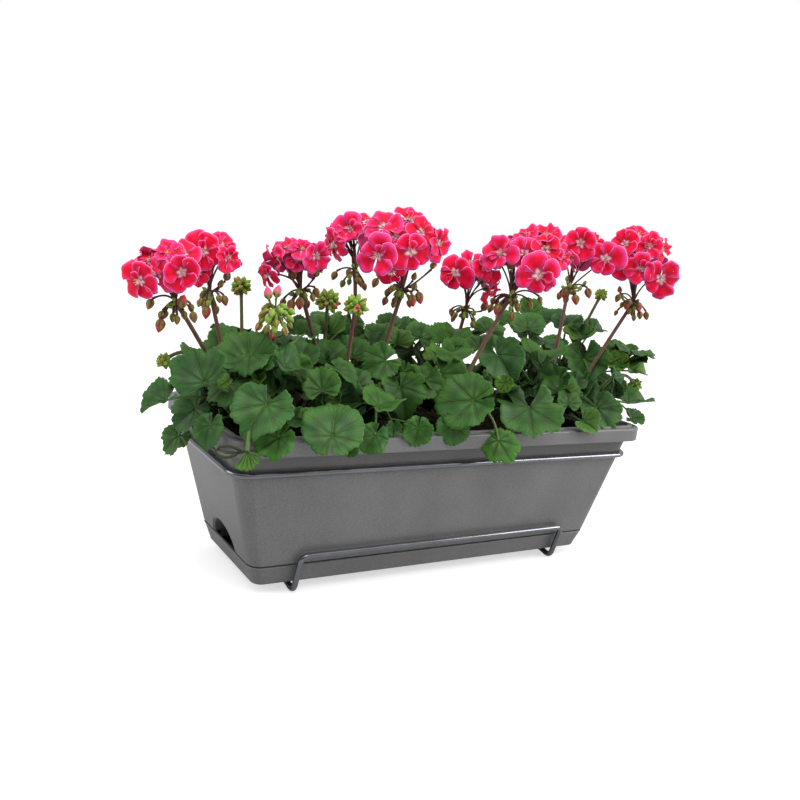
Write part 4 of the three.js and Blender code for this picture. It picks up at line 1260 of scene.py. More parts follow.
def niche_hollow():
    """The mouth flares out to the wall in a small round."""
    mouth, base = 2.0, SKIRT_BOTTOM - 1
    rings = [arch_section(-4, mouth, base)]
    for angle in np.radians(np.linspace(0, 90, 6)):
        inset = mouth * math.sin(angle)
        rings.append(arch_section(inset, mouth * (1 - math.cos(math.pi / 2 - angle)), base))
    rings.append(arch_back(0, base, NICHE_DEPTH - 4))
    for angle in np.radians((30, 60, 90)):
        inset = 4 * (1 - math.sin(angle))
        rings.append(arch_back(0, base, NICHE_DEPTH - inset, 4 * (1 - math.cos(angle))))
    shape = Shape()
    loft(shape, rings)
    return shape


def upright_rod(x, radius, low, high):
    shape = Shape()
    loft(shape, [level_ring(circle(WELL_SIDES), radius, height) + (x, 0, 0)
                 for height in (low, high)])
    return shape


def carve(piece, shape, operation):
    """Adds another closed shape to a piece, or cuts it out."""
    helper = new_piece("helper", shape.mesh("helper"))
    modifier = piece.modifiers.new("Carve", "BOOLEAN")
    modifier.object, modifier.operation, modifier.solver = helper, operation, "EXACT"
    flatten(piece)
    bpy.data.objects.remove(helper)


def even_shading(piece):
    """Keeps the large faces flat and the small rounds smooth."""
    piece.data.shade_smooth()
    piece.data.set_sharp_from_angle(angle=math.radians(SHARP_ANGLE))
    modifier = piece.modifiers.new("Shading", "WEIGHTED_NORMAL")
    modifier.keep_sharp = True
    flatten(piece)


class WINDOWBOX_OT_trough(bpy.types.Operator):
    """Builds the trough: its flange, groove and lip, the filling niche and the wells"""
    bl_idname = "windowbox.trough"
    bl_label = "Trough"

    def execute(self, context):
        shape = Shape()
        loft(shape, trough_rings())
        piece = new_piece("trough_shell", shape.mesh("trough_shell"), moulded_plastic())
        carve(piece, niche_housing(), "UNION")
        carve(piece, niche_skirt(), "UNION")
        carve(piece, niche_hollow(), "DIFFERENCE")
        floor = BODY_BOTTOM + WALL
        for x in (-WELL_X, WELL_X):
            carve(piece, upright_rod(x, WELL_RADIUS, WELL_BOTTOM, floor), "UNION")
            hollow = upright_rod(x, WELL_RADIUS - WALL, WELL_BOTTOM + WALL, floor + 1)
            carve(piece, hollow, "DIFFERENCE")
        even_shading(piece)
        settle(piece, "trough_plastic", "trough_body")
        return {"FINISHED"}


class WINDOWBOX_OT_tray(bpy.types.Operator):
    """Builds the water tray under the trough"""
    bl_idname = "windowbox.tray"
    bl_label = "Water tray"

    def execute(self, context):
        shape = Shape()
        loft(shape, tray_rings())
        piece = new_piece("tray_shell", shape.mesh("tray_shell"), moulded_plastic())
        even_shading(piece)
        settle(piece, "trough_plastic", "water_tray")
        return {"FINISHED"}


# ---- soil ----

def ripples(points, seed, waves, shortest, longest):
    """A smooth random height from a sum of waves in many directions."""
    draw = random.Random(seed)
    total = np.zeros(len(points))
    for _ in range(waves):
        turn, phase = draw.uniform(0, math.tau), draw.uniform(0, math.tau)
        size = draw.uniform(shortest, longest)
        along = points[:, 0] * math.cos(turn) + points[:, 1] * math.sin(turn)
        total += np.sin(along * math.tau / size + phase)
    return total / math.sqrt(waves)


def soil_surface():
    shape = Shape()
    section = body_section(SOIL_TOP)
    low = [outline(section, SOIL_TOP - 3, -WALL - 0.3)]
    rings = [outline(section, SOIL_TOP + 1, -WALL - 0.3 - inset) for inset in range(0, 82, 2)]
    points = np.concatenate(rings)
    rise = ripples(points, 3, 14, 9, 60) * 1.4 + ripples(points, 5, 10, 4, 9) * 0.5
    points[:, 2] += np.clip(rise, -2.5, 3.5)
    bumpy = points.reshape(len(rings), -1, 3)
    loft(shape, np.concatenate([low, bumpy]))
    return shape


def soil_crumb(seed):
    """A lump with few faces."""
    draw = random.Random(seed)
    shape = Shape()
    rings = []
    for height, radius in ((-0.8, 0.5), (0.0, 1.0), (0.75, 0.55)):
        angle = circle(5) + draw.random()
        reach = np.array([radius * draw.uniform(0.7, 1.2) for _ in angle]) / MM
        rings.append(level_ring(angle, reach, height * draw.uniform(0.8, 1.1) / MM))
    loft(shape, rings)
    return shape.mesh("crumb", placed=False)


class WINDOWBOX_OT_soil(bpy.types.Operator):
    """Finishes the potting soil: its bed, an uneven surface and loose crumbs"""
    bl_idname = "windowbox.soil"
    bl_label = "Potting soil"

    def execute(self, context):
        own = settings("box")
        bed = frame["nodes"]["potting_soil"]
        if not bed.material_slots:
            bed.data.materials.append(None)
        for place in bed.material_slots:
            place.material = potting_soil()
        mesh = soil_surface().mesh("soil_surface")
        settle(new_piece("soil_surface", mesh, potting_soil()), "soil")
        crumbs = kit("crumb", [soil_crumb(seed) for seed in range(CRUMB_KINDS)])
        piece = new_piece("soil_crumbs", mesh.copy())
        grow(piece, crumb_tree(), Crumb=crumbs, Density=float(own.crumbs), Seed=CRUMB_SEED,
             Smallest=CRUMB_SMALLEST * MM, Largest=CRUMB_LARGEST * MM, Material=potting_soil())
        clear_kit(crumbs)
        settle(piece, "soil")
        return {"FINISHED"}


# ---- rack ----

def bent_path(corners, bend, steps=10):
    """Points along straight runs whose corners are rounded."""
    corners = np.asarray(corners, float)
    path = [corners[:1]]
    for before, corner, after in zip(corners, corners[1:], corners[2:]):
        start = corner - unit(corner - before) * bend
        end = corner + unit(after - corner) * bend
        path.append(bezier(start, corner, end, steps))
    path.append(corners[-1:])
    return np.concatenate(path)


def drawn_end(points, radius):
    """Half widths along a wire whose last end is rounded off, and points to match."""
    ahead = unit(points[-1] - points[-2])
    extra = [points[-1] + ahead * radius * share for share in (0.5, 0.8, 0.97)]
    widths = [radius] * len(points) + [radius * share for share in (0.87, 0.6, 0.24)]
    return np.concatenate([points, extra]), np.array(widths)


def ring_path():
    rear = body_section(RING_HEIGHT)
    return outline(rear, RING_HEIGHT, RING_STANDOFF)


def behind_ring(radius):
    return body_section(RING_HEIGHT)[1] + RING_STANDOFF + 2 * radius + WIRE_GAP


def cradle_path(radius):
    half = [(behind_ring(radius) + UPRIGHT_LEAN, UPRIGHT_TOP), (FOOT_REAR_Y, FOOT_Z),
            (RUNNER_HALF, RUNNER_Z), (-RUNNER_HALF, RUNNER_Z), (FOOT_FRONT_Y, FOOT_Z),
            (BAR_Y, BAR_Z)]
    left = [(-CRADLE_HALF_LENGTH, y, z) for y, z in half]
    right = [(CRADLE_HALF_LENGTH, y, z) for y, z in half[::-1]]
    return bent_path(left + right, 8)


def hook_path(x, radius):
    near = behind_ring(radius)
    out = RIM[1] + radius + 2 * WIRE_GAP
    join = JOGGLE_HIGH + 2 * JOGGLE_BEND
    step = [(x, near, HOOK_BOTTOM), (x, near, JOGGLE_LOW), (x, out, JOGGLE_HIGH), (x, out, join)]
    crook = [(x, out, join), (x, out, HOOK_TOP), (x, out + HOOK_REACH, HOOK_TOP),
             (x, out + HOOK_REACH, HOOK_TOP - HOOK_DROP + radius)]
    return np.concatenate([bent_path(step, JOGGLE_BEND), bent_path(crook, 12)[1:]])


def weld_bead(shape, at, size, seed):
    """A small lumpy bead of weld."""
    draw = random.Random(seed)
    rings = []
    for lift in np.radians(np.linspace(-80, 80, 9)):
        lump = np.array([draw.uniform(0.93, 1.07) for _ in range(WELD_SIDES)])
        rings.append(level_ring(circle(WELD_SIDES), math.cos(lift) * lump, math.sin(lift)) * size + at)
    loft(shape, rings)


class WINDOWBOX_OT_rack(bpy.types.Operator):
    """Builds the wire rack: its ring, its cradle, two railing hooks and the welds"""
    bl_idname = "windowbox.rack"
    bl_label = "Wire rack"

    def execute(self, context):
        own = settings("box")
        radius, sides, wire = own.wire_radius / MM, own.wire_sides, lacquered_wire()
        ring = rods("rack_ring_wire", [(ring_path(), radius, {}, True)], wire, sides)
        settle(ring, "rack_wire", "rack_ring")
        cradle = rods("rack_cradle_wire", [(cradle_path(radius), radius, {}, False)], wire, sides)
        settle(cradle, "rack_wire", "rack_cradle")
        for side, x in (("left", -HOOK_X), ("right", HOOK_X)):
            points, widths = drawn_end(hook_path(x, radius), radius)
            hook = rods(f"rack_hook_{side}_wire", [(points, widths, {}, False)], wire, sides)
            settle(hook, "rack_wire", "rack_hook_" + side)
        shape = Shape()
        level = behind_ring(radius) - radius - WIRE_GAP / 2
        for number, x in enumerate((-HOOK_X, -CRADLE_HALF_LENGTH, CRADLE_HALF_LENGTH, HOOK_X)):
            weld_bead(shape, (x + 1.8, level, RING_HEIGHT), (2.6, 1.9, 2.8), number)
            weld_bead(shape, (x - 1.8, level, RING_HEIGHT), (2.4, 1.9, 2.6), number + 9)
        beads = new_piece("rack_welds", shape.mesh("rack_welds"), wire)
        settle(beads, "rack_wire")
        return {"FINISHED"}


# ---- leaves ----

def point_normals(points, faces):
    """Normals of a grid's points from the quads around them."""
    first, second = points[faces[:, 2]] - points[faces[:, 0]], points[faces[:, 3]] - points[faces[:, 1]]
    across = np.cross(first, second)
    total = np.zeros_like(points)
    for corner in range(4):
        np.add.at(total, faces[:, corner], across)
    return total / np.maximum(np.linalg.norm(total, axis=1), 1e-9)[:, None]


def sheet(shape, grid, thickness, slots=(0, 0), **values):
    """A thin closed sheet on a grid of points: rows run outwards, columns anticlockwise.
    Each value is a pair: for the points of the face, and for those of the back."""
    rows, columns = grid.shape[:2]
    face = grid.reshape(-1, 3)
    quads = grid_faces(rows, columns)
    back = face - point_normals(face, quads) * np.reshape(thickness, (-1, 1))
    total = len(face)
    at = np.arange(total).reshape(rows, columns)
    loop = np.concatenate([at[:, 0], at[-1, 1:], at[-2::-1, -1], at[0, -2:0:-1]])
    after = np.roll(loop, -1)
    edge = np.stack([loop, loop + total, after + total, after], 1)
    both = {name: np.concatenate(pair) for name, pair in values.items()}
    shape.add(np.concatenate([face, back]), [quads, quads[:, ::-1] + total, edge],
              (slots[0], slots[1], slots[1]), **both)


def blade_axes(azimuth, elevation, turn):
    """The way the face looks, the way the tip points, and the way across."""
    normal = direction(azimuth, elevation)
    downhill = Vector(direction(azimuth, elevation - 90))
    tip = np.array(Matrix.Rotation(math.radians(turn), 3, Vector(normal)) @ downhill)
    return normal, tip, np.cross(normal, tip)


def blade_hub(blade):
    """Where the leaf stalk joins the blade."""
    _, tip, _ = blade_axes(blade["azimuth"], blade["elevation"], blade["turn"])
    return np.array(blade["at"]) - LEAF_HUB * blade["radius"] * tip


def leaf_blade(shape, own, blade, draw, rows, sectors):
    """A kidney-shaped blade with rounded lobes and teeth, cupped, folded and wavy."""
    form = {"cup": draw.uniform(-0.12, 0.25), "fold": draw.uniform(0.08, 0.5),
            "droop": draw.uniform(0.0, 0.40), "lift": draw.uniform(0.02, 0.25),
            "gap": draw.uniform(0.10, 0.45), "wave": draw.uniform(1.1, 2.3), "age": 0.0}
    form.update({key: blade[key] for key in form if key in blade})
    lobe = own.lobe * draw.uniform(0.6, 1.3)
    tooth = own.tooth * draw.uniform(0.8, 1.4)
    pleat = own.pleat * draw.uniform(0.6, 1.3)

    turn = np.linspace(-1, 1, sectors + 1)[None]
    out = (np.linspace(0.0, 1, rows + 1) ** 0.85 * 0.98 + 0.02)[:, None]
    angle = turn * (math.pi - form["gap"])
    place = turn * LOBES / 2
    round_edge = LEAF_HUB * np.cos(angle) + np.sqrt(1 - (LEAF_HUB * np.sin(angle)) ** 2)
    uneven = 1 + 0.35 * np.sin(place * 2.3 + draw.uniform(0, 6))
    notch = np.abs(np.cos(math.pi * (place + LOBES / 2))) ** 5
    teeth = draw.uniform(3.2, 4.2)
    scallop = np.abs(np.sin(math.pi * teeth * place + draw.uniform(0, 3))) ** 0.7 - 0.6
    edge = 1 - lobe * notch * uneven + tooth * scallop * uneven
    reach = out * round_edge * (1 + (edge - 1) * out ** 3)

    height = form["cup"] * out ** 2 + form["fold"] * np.abs(np.sin(angle)) * reach
    height = height - form["droop"] * np.maximum(reach * np.cos(angle), 0) ** 2
    height = height + form["lift"] * np.abs(turn) ** 8 * out
    for waves, size in ((2, 0.060), (3, 0.060), (5, 0.050), (8, 0.024), (13, 0.010)):
        swing = np.sin(waves * angle + draw.uniform(0, math.tau))
        height = height + form["wave"] * size * draw.uniform(0.3, 1.2) * swing * out ** 2.4
    height = height + pleat * np.abs(np.sin(math.pi * place)) ** 0.8 * out ** 0.9 * (1.2 - 0.6 * out)

    radius = blade["radius"]
    normal, tip, across = blade_axes(blade["azimuth"], blade["elevation"], blade["turn"])
    along_tip = (reach * np.cos(angle))[..., None] * tip
    along_side = (reach * np.sin(angle))[..., None] * across
    grid = blade_hub(blade) + radius * (along_tip + along_side + height[..., None] * normal)
    thin = own.thickness / MM * (1 - 0.6 * out ** 6) * np.ones_like(turn)
    tint = draw.random()
    look = np.stack([0.5 + place / LOBE_ROOM + 0 * out, out + 0 * place,
                     np.full_like(height, tint), np.full_like(height, form["age"])], -1)
    look = look.reshape(-1, 4)
    sheet(shape, grid, thin.ravel(), (0, 1), blade=(look, look))


def stem_path(one):
    """The woody stem: upright from the soil, then leaning out to its tip."""
    x, y = one["foot"]
    return bezier((x, y, SOIL_TOP - 2), (x, y, SOIL_TOP + STEM_UPRIGHT), one["tip"], STEM_STEPS)


def stem_point(one, share):
    x, y = one["foot"]
    start = np.array((x, y, SOIL_TOP + WIRE_GAP))
    rise = np.array((x, y, SOIL_TOP + STEM_UPRIGHT))
    rest = 1 - share
    return rest ** 2 * start + 2 * share * rest * rise + share ** 2 * np.array(one["tip"])


def petiole_path(start, hub):
    """A bowed leaf stalk; one to a low leaf goes up and over the rim first."""
    bow = (start + hub) / 2 + (0, 0, np.linalg.norm(hub - start) * PETIOLE_BOW)
    if hub[2] < LOW_HUB:
        bow = (bow + hub) / 2
        bow[2] = OVER_RIM
    return bezier(start, bow, hub, PETIOLE_STEPS)


def inner_leaves(one, own, draw):
    """Leaves within the plant, behind those at its outside."""
    for _ in range(own.filling):
        place = draw.uniform(0.2, 0.98)
        start = stem_point(one, place)
        spread = direction(draw.uniform(0, 360), draw.uniform(5, 60)) * draw.uniform(16, 48)
        at = np.clip(start + spread, INNER_LOW, INNER_HIGH)
        facing = math.degrees(math.atan2(at[0] - start[0], start[1] - at[1]))
        yield place, leaf(*at, draw.uniform(14, 25), facing + draw.uniform(-40, 40),
                          draw.uniform(25, 80), draw.uniform(-60, 60))


def young_leaves(one, own, draw):
    """Small bright leaves that are still folded, round the tip of the stem."""
    for _ in range(own.sprigs):
        place = draw.uniform(0.85, 1.0)
        start = stem_point(one, place)
        at = start + direction(draw.uniform(-110, 110), draw.uniform(20, 70)) * draw.uniform(10, 26)
        yield place, leaf(*at, draw.uniform(6, 10), draw.uniform(-90, 90), draw.uniform(10, 70),
                          draw.uniform(-60, 60), cup=0.35, fold=draw.uniform(0.4, 0.9),
                          wave=2.0, age=draw.uniform(0.5, 1.0))


def build_shoot(name, one):
    """A shoot: its stems in one piece and its blades in another."""
    own = settings("leaf")
    draw = random.Random(name)
    blades = Shape()
    stem = stem_path(one)
    along = np.linspace(0, 1, len(stem))
    swell = 1 + 0.10 * np.abs(np.sin(along * 19))
    widths = own.stem_radius / MM * (1.08 - 0.35 * along) * swell
    widths[-1] *= 0.6
    paths = [(stem, widths, {"woody": 1 - 0.85 * along}, False)]
    outer = len(one["leaves"])
    grown = [(LOWEST_LEAF + LEAFY_SHARE * (number + 1) / outer, blade)
             for number, blade in enumerate(one["leaves"])]
    small = [*inner_leaves(one, own, draw), *young_leaves(one, own, draw)]
    for number, (place, blade) in enumerate(grown + small):
        leaf_blade(blades, own, blade, draw, *(OUTER_GRID if number < outer else INNER_GRID))
        path = petiole_path(stem_point(one, place), blade_hub(blade))
        width = own.petiole_radius / MM * (0.5 + 0.5 * min(blade["radius"] / 20, 1.15))
        width *= blade.get("stout", 1.0)
        taper = 1.25 - 0.35 * np.sin(np.linspace(0.2, 1, len(path)) * math.pi / 2)
        paths.append((path, width * taper, {"woody": 0.0}, False))
    for corners in RUNNERS.get(name, ()):
        path = bent_path(corners, RUNNER_BEND, 4)
        paths.append((path, RUNNER_RADIUS, {"woody": 1.0}, False))
    stems = rods(name + "_stems", paths, green_stalk(), STALK_SIDES)
    settle(stems, "stem", name)
    leaves = new_piece(name + "_leaves", blades.mesh(name + "_leaves"), leaf_face(), leaf_back())
    settle(leaves, "leaf", name)


class WINDOWBOX_OT_shoots(bpy.types.Operator):
    """Grows the leafy shoots of the four plants"""
    bl_idname = "windowbox.shoots"
    bl_label = "Shoots and leaves"

    def execute(self, context):
        for name, one in SHOOTS.items():
            build_shoot(name, one)
        return {"FINISHED"}


# ---- flowers ----

def swung(forward, side, turn):
    """The same place after a turn about +Z."""
    return (forward * math.cos(turn) - side * math.sin(turn),
            forward * math.sin(turn) + side * math.cos(turn))


def petal_sheet(shape, length, spread, tilt, turn, thickness, draw, cup, ruffle):
    """One petal: narrow at the throat, broad and rounded at the end."""
    along = np.linspace(0.07, 1, 8)[:, None]
    across = np.linspace(-1, 1, 11)[None]
    reach = along * length * (1 - 0.34 * np.abs(across) ** 2.8 * along)
    reach = reach * (1 - 0.04 * (1 - across ** 2) ** 8 * along)
    fan = across * spread * (0.68 + 0.32 * along ** 0.7)
    rise = reach * math.sin(tilt) * (1 - 0.25 * along)
    rise = rise + cup * length * across ** 2 * along
    wave = np.sin(2.4 * math.pi * across + draw.uniform(0, 6)) * draw.uniform(0.4, 1.2)
    rise = rise + ruffle * length * along ** 3 * wave
    rise = rise - 0.12 * length * along ** 4 * draw.uniform(0.2, 1.6)
    level = reach * math.cos(tilt)
    side, forward = level * np.sin(fan), level * np.cos(fan)
    rise = rise + side * OVERLAP_LEAN
    grid = np.stack([*swung(forward, side, turn), rise], -1)
    look = np.stack([(across + 1) / 2 + 0 * along, along + 0 * across, 0 * (along + across)], -1)
    look = look.reshape(-1, 3)
    sheet(shape, grid, np.full(len(look), thickness), petal=(look, look + (0, 0, 1)))


def floret(own, seed):
    """A half-double flower: five broad petals and a few smaller, curled ones inside."""
    draw = random.Random(seed)
    shape = Shape()
    length, thick = own.petal_length / MM, own.petal_thickness / MM
    openness = draw.uniform(0.02, 0.45)
    start = draw.uniform(0, math.tau)
    for number in range(PETALS):
        turn = start + number * math.tau / PETALS + draw.uniform(-0.20, 0.20)
        petal_sheet(shape, length * draw.uniform(0.82, 1.12), draw.uniform(0.72, 0.98),
                    openness + draw.uniform(-0.25, 0.35), turn, thick, draw, cup=0.12, ruffle=0.11)
    for number in range(seed % 3):
        turn = start + 0.6 + number * 2.6 + draw.uniform(-0.5, 0.5)
        petal_sheet(shape, length * draw.uniform(0.50, 0.74), draw.uniform(0.5, 0.72),
                    draw.uniform(0.35, 0.75), turn, thick, draw, cup=0.2, ruffle=0.10)
    return shape.mesh("floret", placed=False)


def small_rod(shape, start, end, first, last, sides=4, **values):
    """A thin straight rod."""
    start, end = np.asarray(start, float), np.asarray(end, float)
    ahead = unit(end - start)
    side = unit(np.cross(ahead, (0.3, 0.9, 0.2)))
    other = np.cross(ahead, side)
    angle = circle(sides)
    round_it = np.outer(np.cos(angle), side) + np.outer(np.sin(angle), other)
    middle = (start + end) / 2
    rings = [start + round_it * first, middle + round_it * (first + last) / 2,
             end + round_it * last]
    loft(shape, rings, **values)


def stamen_tuft(seed):
    """Pale filaments with orange pollen, round a short style."""
    draw = random.Random(seed)
    shape = Shape()
    for number in range(FILAMENTS):
        turn = number * math.tau / FILAMENTS + draw.uniform(-0.3, 0.3)
        out = draw.uniform(1.4, 3.4)
        foot = (0.5 * math.cos(turn), 0.5 * math.sin(turn), 0.2)
        top = np.array((out * math.cos(turn), out * math.sin(turn), draw.uniform(4.5, 7.0)))
        small_rod(shape, foot, top, 0.40, 0.28, pollen=0.0)
        small_rod(shape, top - (0, 0, 0.3), top + (0, 0, 1.5), 0.75, 0.45, 5, pollen=1.0)
    small_rod(shape, (0, 0, -0.5), (0, 0, 7), 0.6, 0.3, pollen=0.0)
    return shape.mesh("stamens", placed=False)


def egg(shape, length, radius, ripe, base=0.0):
    """A ribbed bud that points along +Z, or with a negative length a flower's tube."""
    share = np.linspace(0.02, 0.985, BUD_RINGS)
    angle = circle(BUD_SIDES)
    ridge = (1 + np.cos(PETALS * angle)) / 2
    made, looks = [], []
    for along in share:
        reach = radius * math.sin(math.pi * along ** 0.75) ** 0.75 * (0.93 + 0.10 * ridge)
        made.append(level_ring(angle, reach, base + along * length))
        looks.append(np.column_stack([along + 0 * angle, ridge, ripe + 0 * angle]))
    if length < 0:
        made, looks = made[::-1], looks[::-1]
    loft(shape, made, bud=np.concatenate(looks))


def calyx(seed):
    """The green tube behind a flower, with five pointed sepals."""
    draw = random.Random(seed)
    shape = Shape()
    egg(shape, -8.0, 1.7, 0.0, base=0.5)
    for number in range(PETALS):
        turn = number * math.tau / PETALS + draw.uniform(-0.1, 0.1)
        along = np.linspace(0.1, 1, 5)[:, None]
        across = np.linspace(-1, 1, 3)[None]
        width = 1.7 * np.sin(math.pi * (0.12 + 0.86 * along)) ** 0.8 * across
        forward = 6.8 * along + 0 * across
        rise = -1.6 - 2.6 * along - 0.4 * across ** 2
        grid = np.stack([*swung(forward, width, turn), rise], -1)
        look = np.stack([0.3 + 0 * width, 1 - np.abs(across) + 0 * along, 0 * width], -1)
        look = look.reshape(-1, 3)
        sheet(shape, grid, np.full(len(look), 0.3), bud=(look, look))
    return shape.mesh("calyx", placed=False)


def bud(ripe):
    shape = Shape()
    egg(shape, BUD_LENGTH + 1.5 * ripe, BUD_RADIUS + 0.4 * ripe, ripe)
    return shape.mesh("bud", placed=False)


def facing_turn(facing, roll):
    """The turn that brings a shape's +Z to where it faces, after a roll about itself."""
    toward = Vector(facing).to_track_quat("Z", "Y").to_matrix()
    return (toward @ Matrix.Rotation(roll, 3, "Z")).to_euler()


def spot(at, facing, size, pick, tint, draw):
    return {"at": at, "turned": facing_turn(facing, draw.uniform(0, math.tau)),
            "size": size, "pick": pick, "tint": tint}


def scatter(name, spots, meshes, finish):
    """Shapes on points, each as its spot says, in one plain mesh."""
    mesh = bpy.data.meshes.new(name)
    mesh.vertices.add(len(spots))
    places = (np.array([one["at"] for one in spots]) + ORIGIN) * MM
    mesh.vertices.foreach_set("co", places.ravel())
    store(mesh, "turned", np.array([tuple(one["turned"]) for one in spots]))
    store(mesh, "size", np.array([one["size"] for one in spots], float))
    store(mesh, "tint", np.array([one["tint"] for one in spots], float))
    picks = mesh.attributes.new("pick", "INT", "POINT")
    picks.data.foreach_set("value", [one["pick"] for one in spots])
    shapes = kit(name + "_shape", meshes)
    piece = grow(new_piece(name, mesh), scatter_tree(), Shapes=shapes, Material=finish)
    clear_kit(shapes)
    return piece


TO_FRONT = direction(-32, 0)


def head_flowers(one, front, own, draw):
    """The flowers listed for the front of an umbel, and others over the rest of its dome."""
    at, hub = np.array(one["at"], float), np.array(one["hub"], float)
    for x, y, z, size, azimuth, elevation in front:
        yield np.array((x, y, z), float), direction(azimuth, elevation), size
    listed = np.array([flower[:3] for flower in front], float)
    radius, rise = one["radius"], one["rise"]
    petal = own.petal_length / MM
    size = min(petal, 0.66 * radius) / petal
    reach = petal * size
    total = max(FEWEST_FLOWERS, round(FLOWERS_TO_AREA * (radius / reach) ** 2 * own.fullness))
    phase = draw.uniform(0, math.tau)
    inner = at + 0.35 * (hub - at)
    for number in range(total):
        level = 1 - (number + 0.5) / total * DOME_SPAN
        lift = math.asin(level)
        turn = phase + number * GOLDEN
        out = (radius - 12 - 0.25 * reach * max(level, 0)) * math.cos(lift)
        place = at + (out * math.cos(turn), out * math.sin(turn), (rise - 17) * level - 2)
        place = place + [draw.uniform(-2, 2) for _ in range(3)]
        facing = unit(unit(place - inner) + [draw.uniform(-0.25, 0.25) for _ in range(3)])
        nearest = np.linalg.norm(listed - place, axis=1).min()
        if (place - at) @ TO_FRONT < 2 and nearest > 0.5 * reach:
            yield place, facing, size * draw.uniform(0.85, 1.0)


def head_buds(one, front, draw):
    """The buds listed for the front of an umbel, others behind them, and small ones close to
    the hub."""
    hub = np.array(one["hub"], float)
    full = min(one["radius"] / 40, 1)
    for x, y, z, kind in front:
        middle = np.array((x, y, z), float)
        away = unit(middle - hub)
        facing = unit((0.35 * away[0], 0.35 * away[1], 1 if away[2] > 0.15 else -1))
        size = 0.62 + 0.14 * kind
        yield middle - facing * 6 * size, facing, size, kind, 0.40 + 0.13 * kind
    for _ in range(round(draw.uniform(4, 7) * full)):
        turn, out = math.radians(draw.uniform(-10, 150)), draw.uniform(7, 22)
        at = hub + (out * math.cos(turn), out * math.sin(turn), -draw.uniform(0, 14))
        down = unit((math.cos(turn) * 0.3, math.sin(turn) * 0.3, -1))
        yield at, down, draw.uniform(0.6, 0.9), draw.choice((0, 1, 2, 3)), 0.7
    for _ in range(round(draw.uniform(9, 12) * full)):
        facing = unit((draw.uniform(-1, 1), draw.uniform(-1, 1), draw.uniform(-1.2, 0.4)))
        yield hub + facing * draw.uniform(2, 7), facing, draw.uniform(0.4, 0.6), 0, 0.4


def cluster_buds(one, draw):
    """A ball of buds on short stalks. A large one hangs open like an umbrella, and two ripe
    buds stand above it."""
    middle, radius = np.array(one["at"], float), one["radius"]
    large = radius > LARGE_CLUSTER
    radius *= SMALL_CLUSTER_SWELL if radius < SMALL_CLUSTER else 1.0
    size = 0.38 + 0.021 * radius
    total = 12 + round((0.95 if large else 1.4) * radius)
    for number in range(total):
        level = 1 - (number + 0.5) / total * BALL_SPAN
        lift = math.asin(level)
        turn = number * GOLDEN + draw.uniform(-0.3, 0.3)
        facing = unit((math.cos(turn) * math.cos(lift), math.sin(turn) * math.cos(lift), level))
        at = middle + facing * max(radius - BUD_LENGTH * size, 1.0) * draw.uniform(0.7, 1.1)
        if large:
            at = middle + facing * radius * draw.uniform(0.55, 0.85) + (0, 0, 2)
            facing = unit(facing * 0.9 + (0, 0, -1))
        kind = draw.choice((0, 0, 1, 2, 3) if radius > 10 and level < 0.1 else (0, 0, 0, 1))
        yield at, facing, size * draw.uniform(0.85, 1.1), kind, draw.uniform(0, 0.12)
    for side in (-1, 1) if large else ():
        facing = unit((0.20 * side, 0.1, 1))
        yield middle + (3.4 * side - 4.5, 0, 19 + side), facing, 0.95, RIPEST_BUD, 0.1


def pedicel(hub, end, away, width, young):
    """A thin stalk from the hub that meets the back of its flower or bud squarely."""
    length = np.linalg.norm(end - hub)
    bow = (hub + end) / 2 - away * length * 0.30 + (0, 0, length * 0.12)
    path = bezier(hub, bow, end, PEDICEL_STEPS)
    taper = width * np.linspace(1.0, 0.85, len(path))
    taper[-2:] *= (1.25, 1.5)
    return path, taper, {"young": young, "fine": 1.0}, False


def main_stalk(one, own, top):
    """The umbel's own stalk: it stands on the stem of its shoot and swells at its top."""
    root = stem_point(SHOOTS[SHOOT_NAMES[one["shoot"]]], one["share"])
    bow = (root + top) / 2 + (0, 0, one["bow"])
    path = bezier(root, bow, top, STALK_STEPS)
    along = np.linspace(0, 1, len(path))
    width = own.stalk_radius / MM * (1.15 - 0.22 * along)
    width *= 0.82 + 0.18 * min(one["radius"] / 25, 1)
    width[-3:] *= (1.15, 1.45, 1.2)
    young = np.clip((STALK_GREEN_FROM - path[:, 2]) / STALK_GREEN_REACH, 0, 1)
    if one["radius"] < SMALL_CLUSTER:
        young = np.maximum(young, 0.75)
    return path, width, {"young": young, "fine": 0.0}, False


def build_head(name, one, flowers, buds):
    """An umbel in bloom: petals, stamens, green parts and stalks."""
    own = settings("flower")
    draw = random.Random(name)
    hub = np.array(one["hub"], float)
    petals, tufts, greens = [], [], []
    paths = [main_stalk(one, own, hub)]
    fine = own.pedicel_radius / MM
    for at, facing, size in head_flowers(one, flowers, own, draw):
        tint = draw.random()
        petals.append(spot(at, facing, size, draw.randrange(FLORET_KINDS), tint, draw))
        tufts.append(spot(at, facing, size, draw.randrange(TUFT_KINDS), tint, draw))
        greens.append(spot(at, facing, size, draw.randrange(CALYX_KINDS), 0.7, draw))
        paths.append(pedicel(hub, at - facing * 7 * size, facing, fine, 0.0))
    for at, facing, size, kind, tint in head_buds(one, buds, draw):
        greens.append(spot(at, facing, size, CALYX_KINDS + kind, tint, draw))
        paths.append(pedicel(hub, at, facing, fine, 0.3 if kind == 0 else 0.0))
    florets = [floret(own, seed) for seed in range(FLORET_KINDS)]
    settle(scatter(name + "_petals", petals, florets, petal_skin()), "petal", name)
    middles = [stamen_tuft(seed) for seed in range(TUFT_KINDS)]
    settle(scatter(name + "_stamens", tufts, middles, stamens()), "petal")
    shapes = [calyx(seed) for seed in range(CALYX_KINDS)] + [bud(ripe) for ripe in BUD_RIPENESS]
    settle(scatter(name + "_greens", greens, shapes, bud_skin()), "bud")
    settle(rods(name + "_stalks", paths, flower_stalk(), STALK_SIDES), "stem", name + "_stalk")


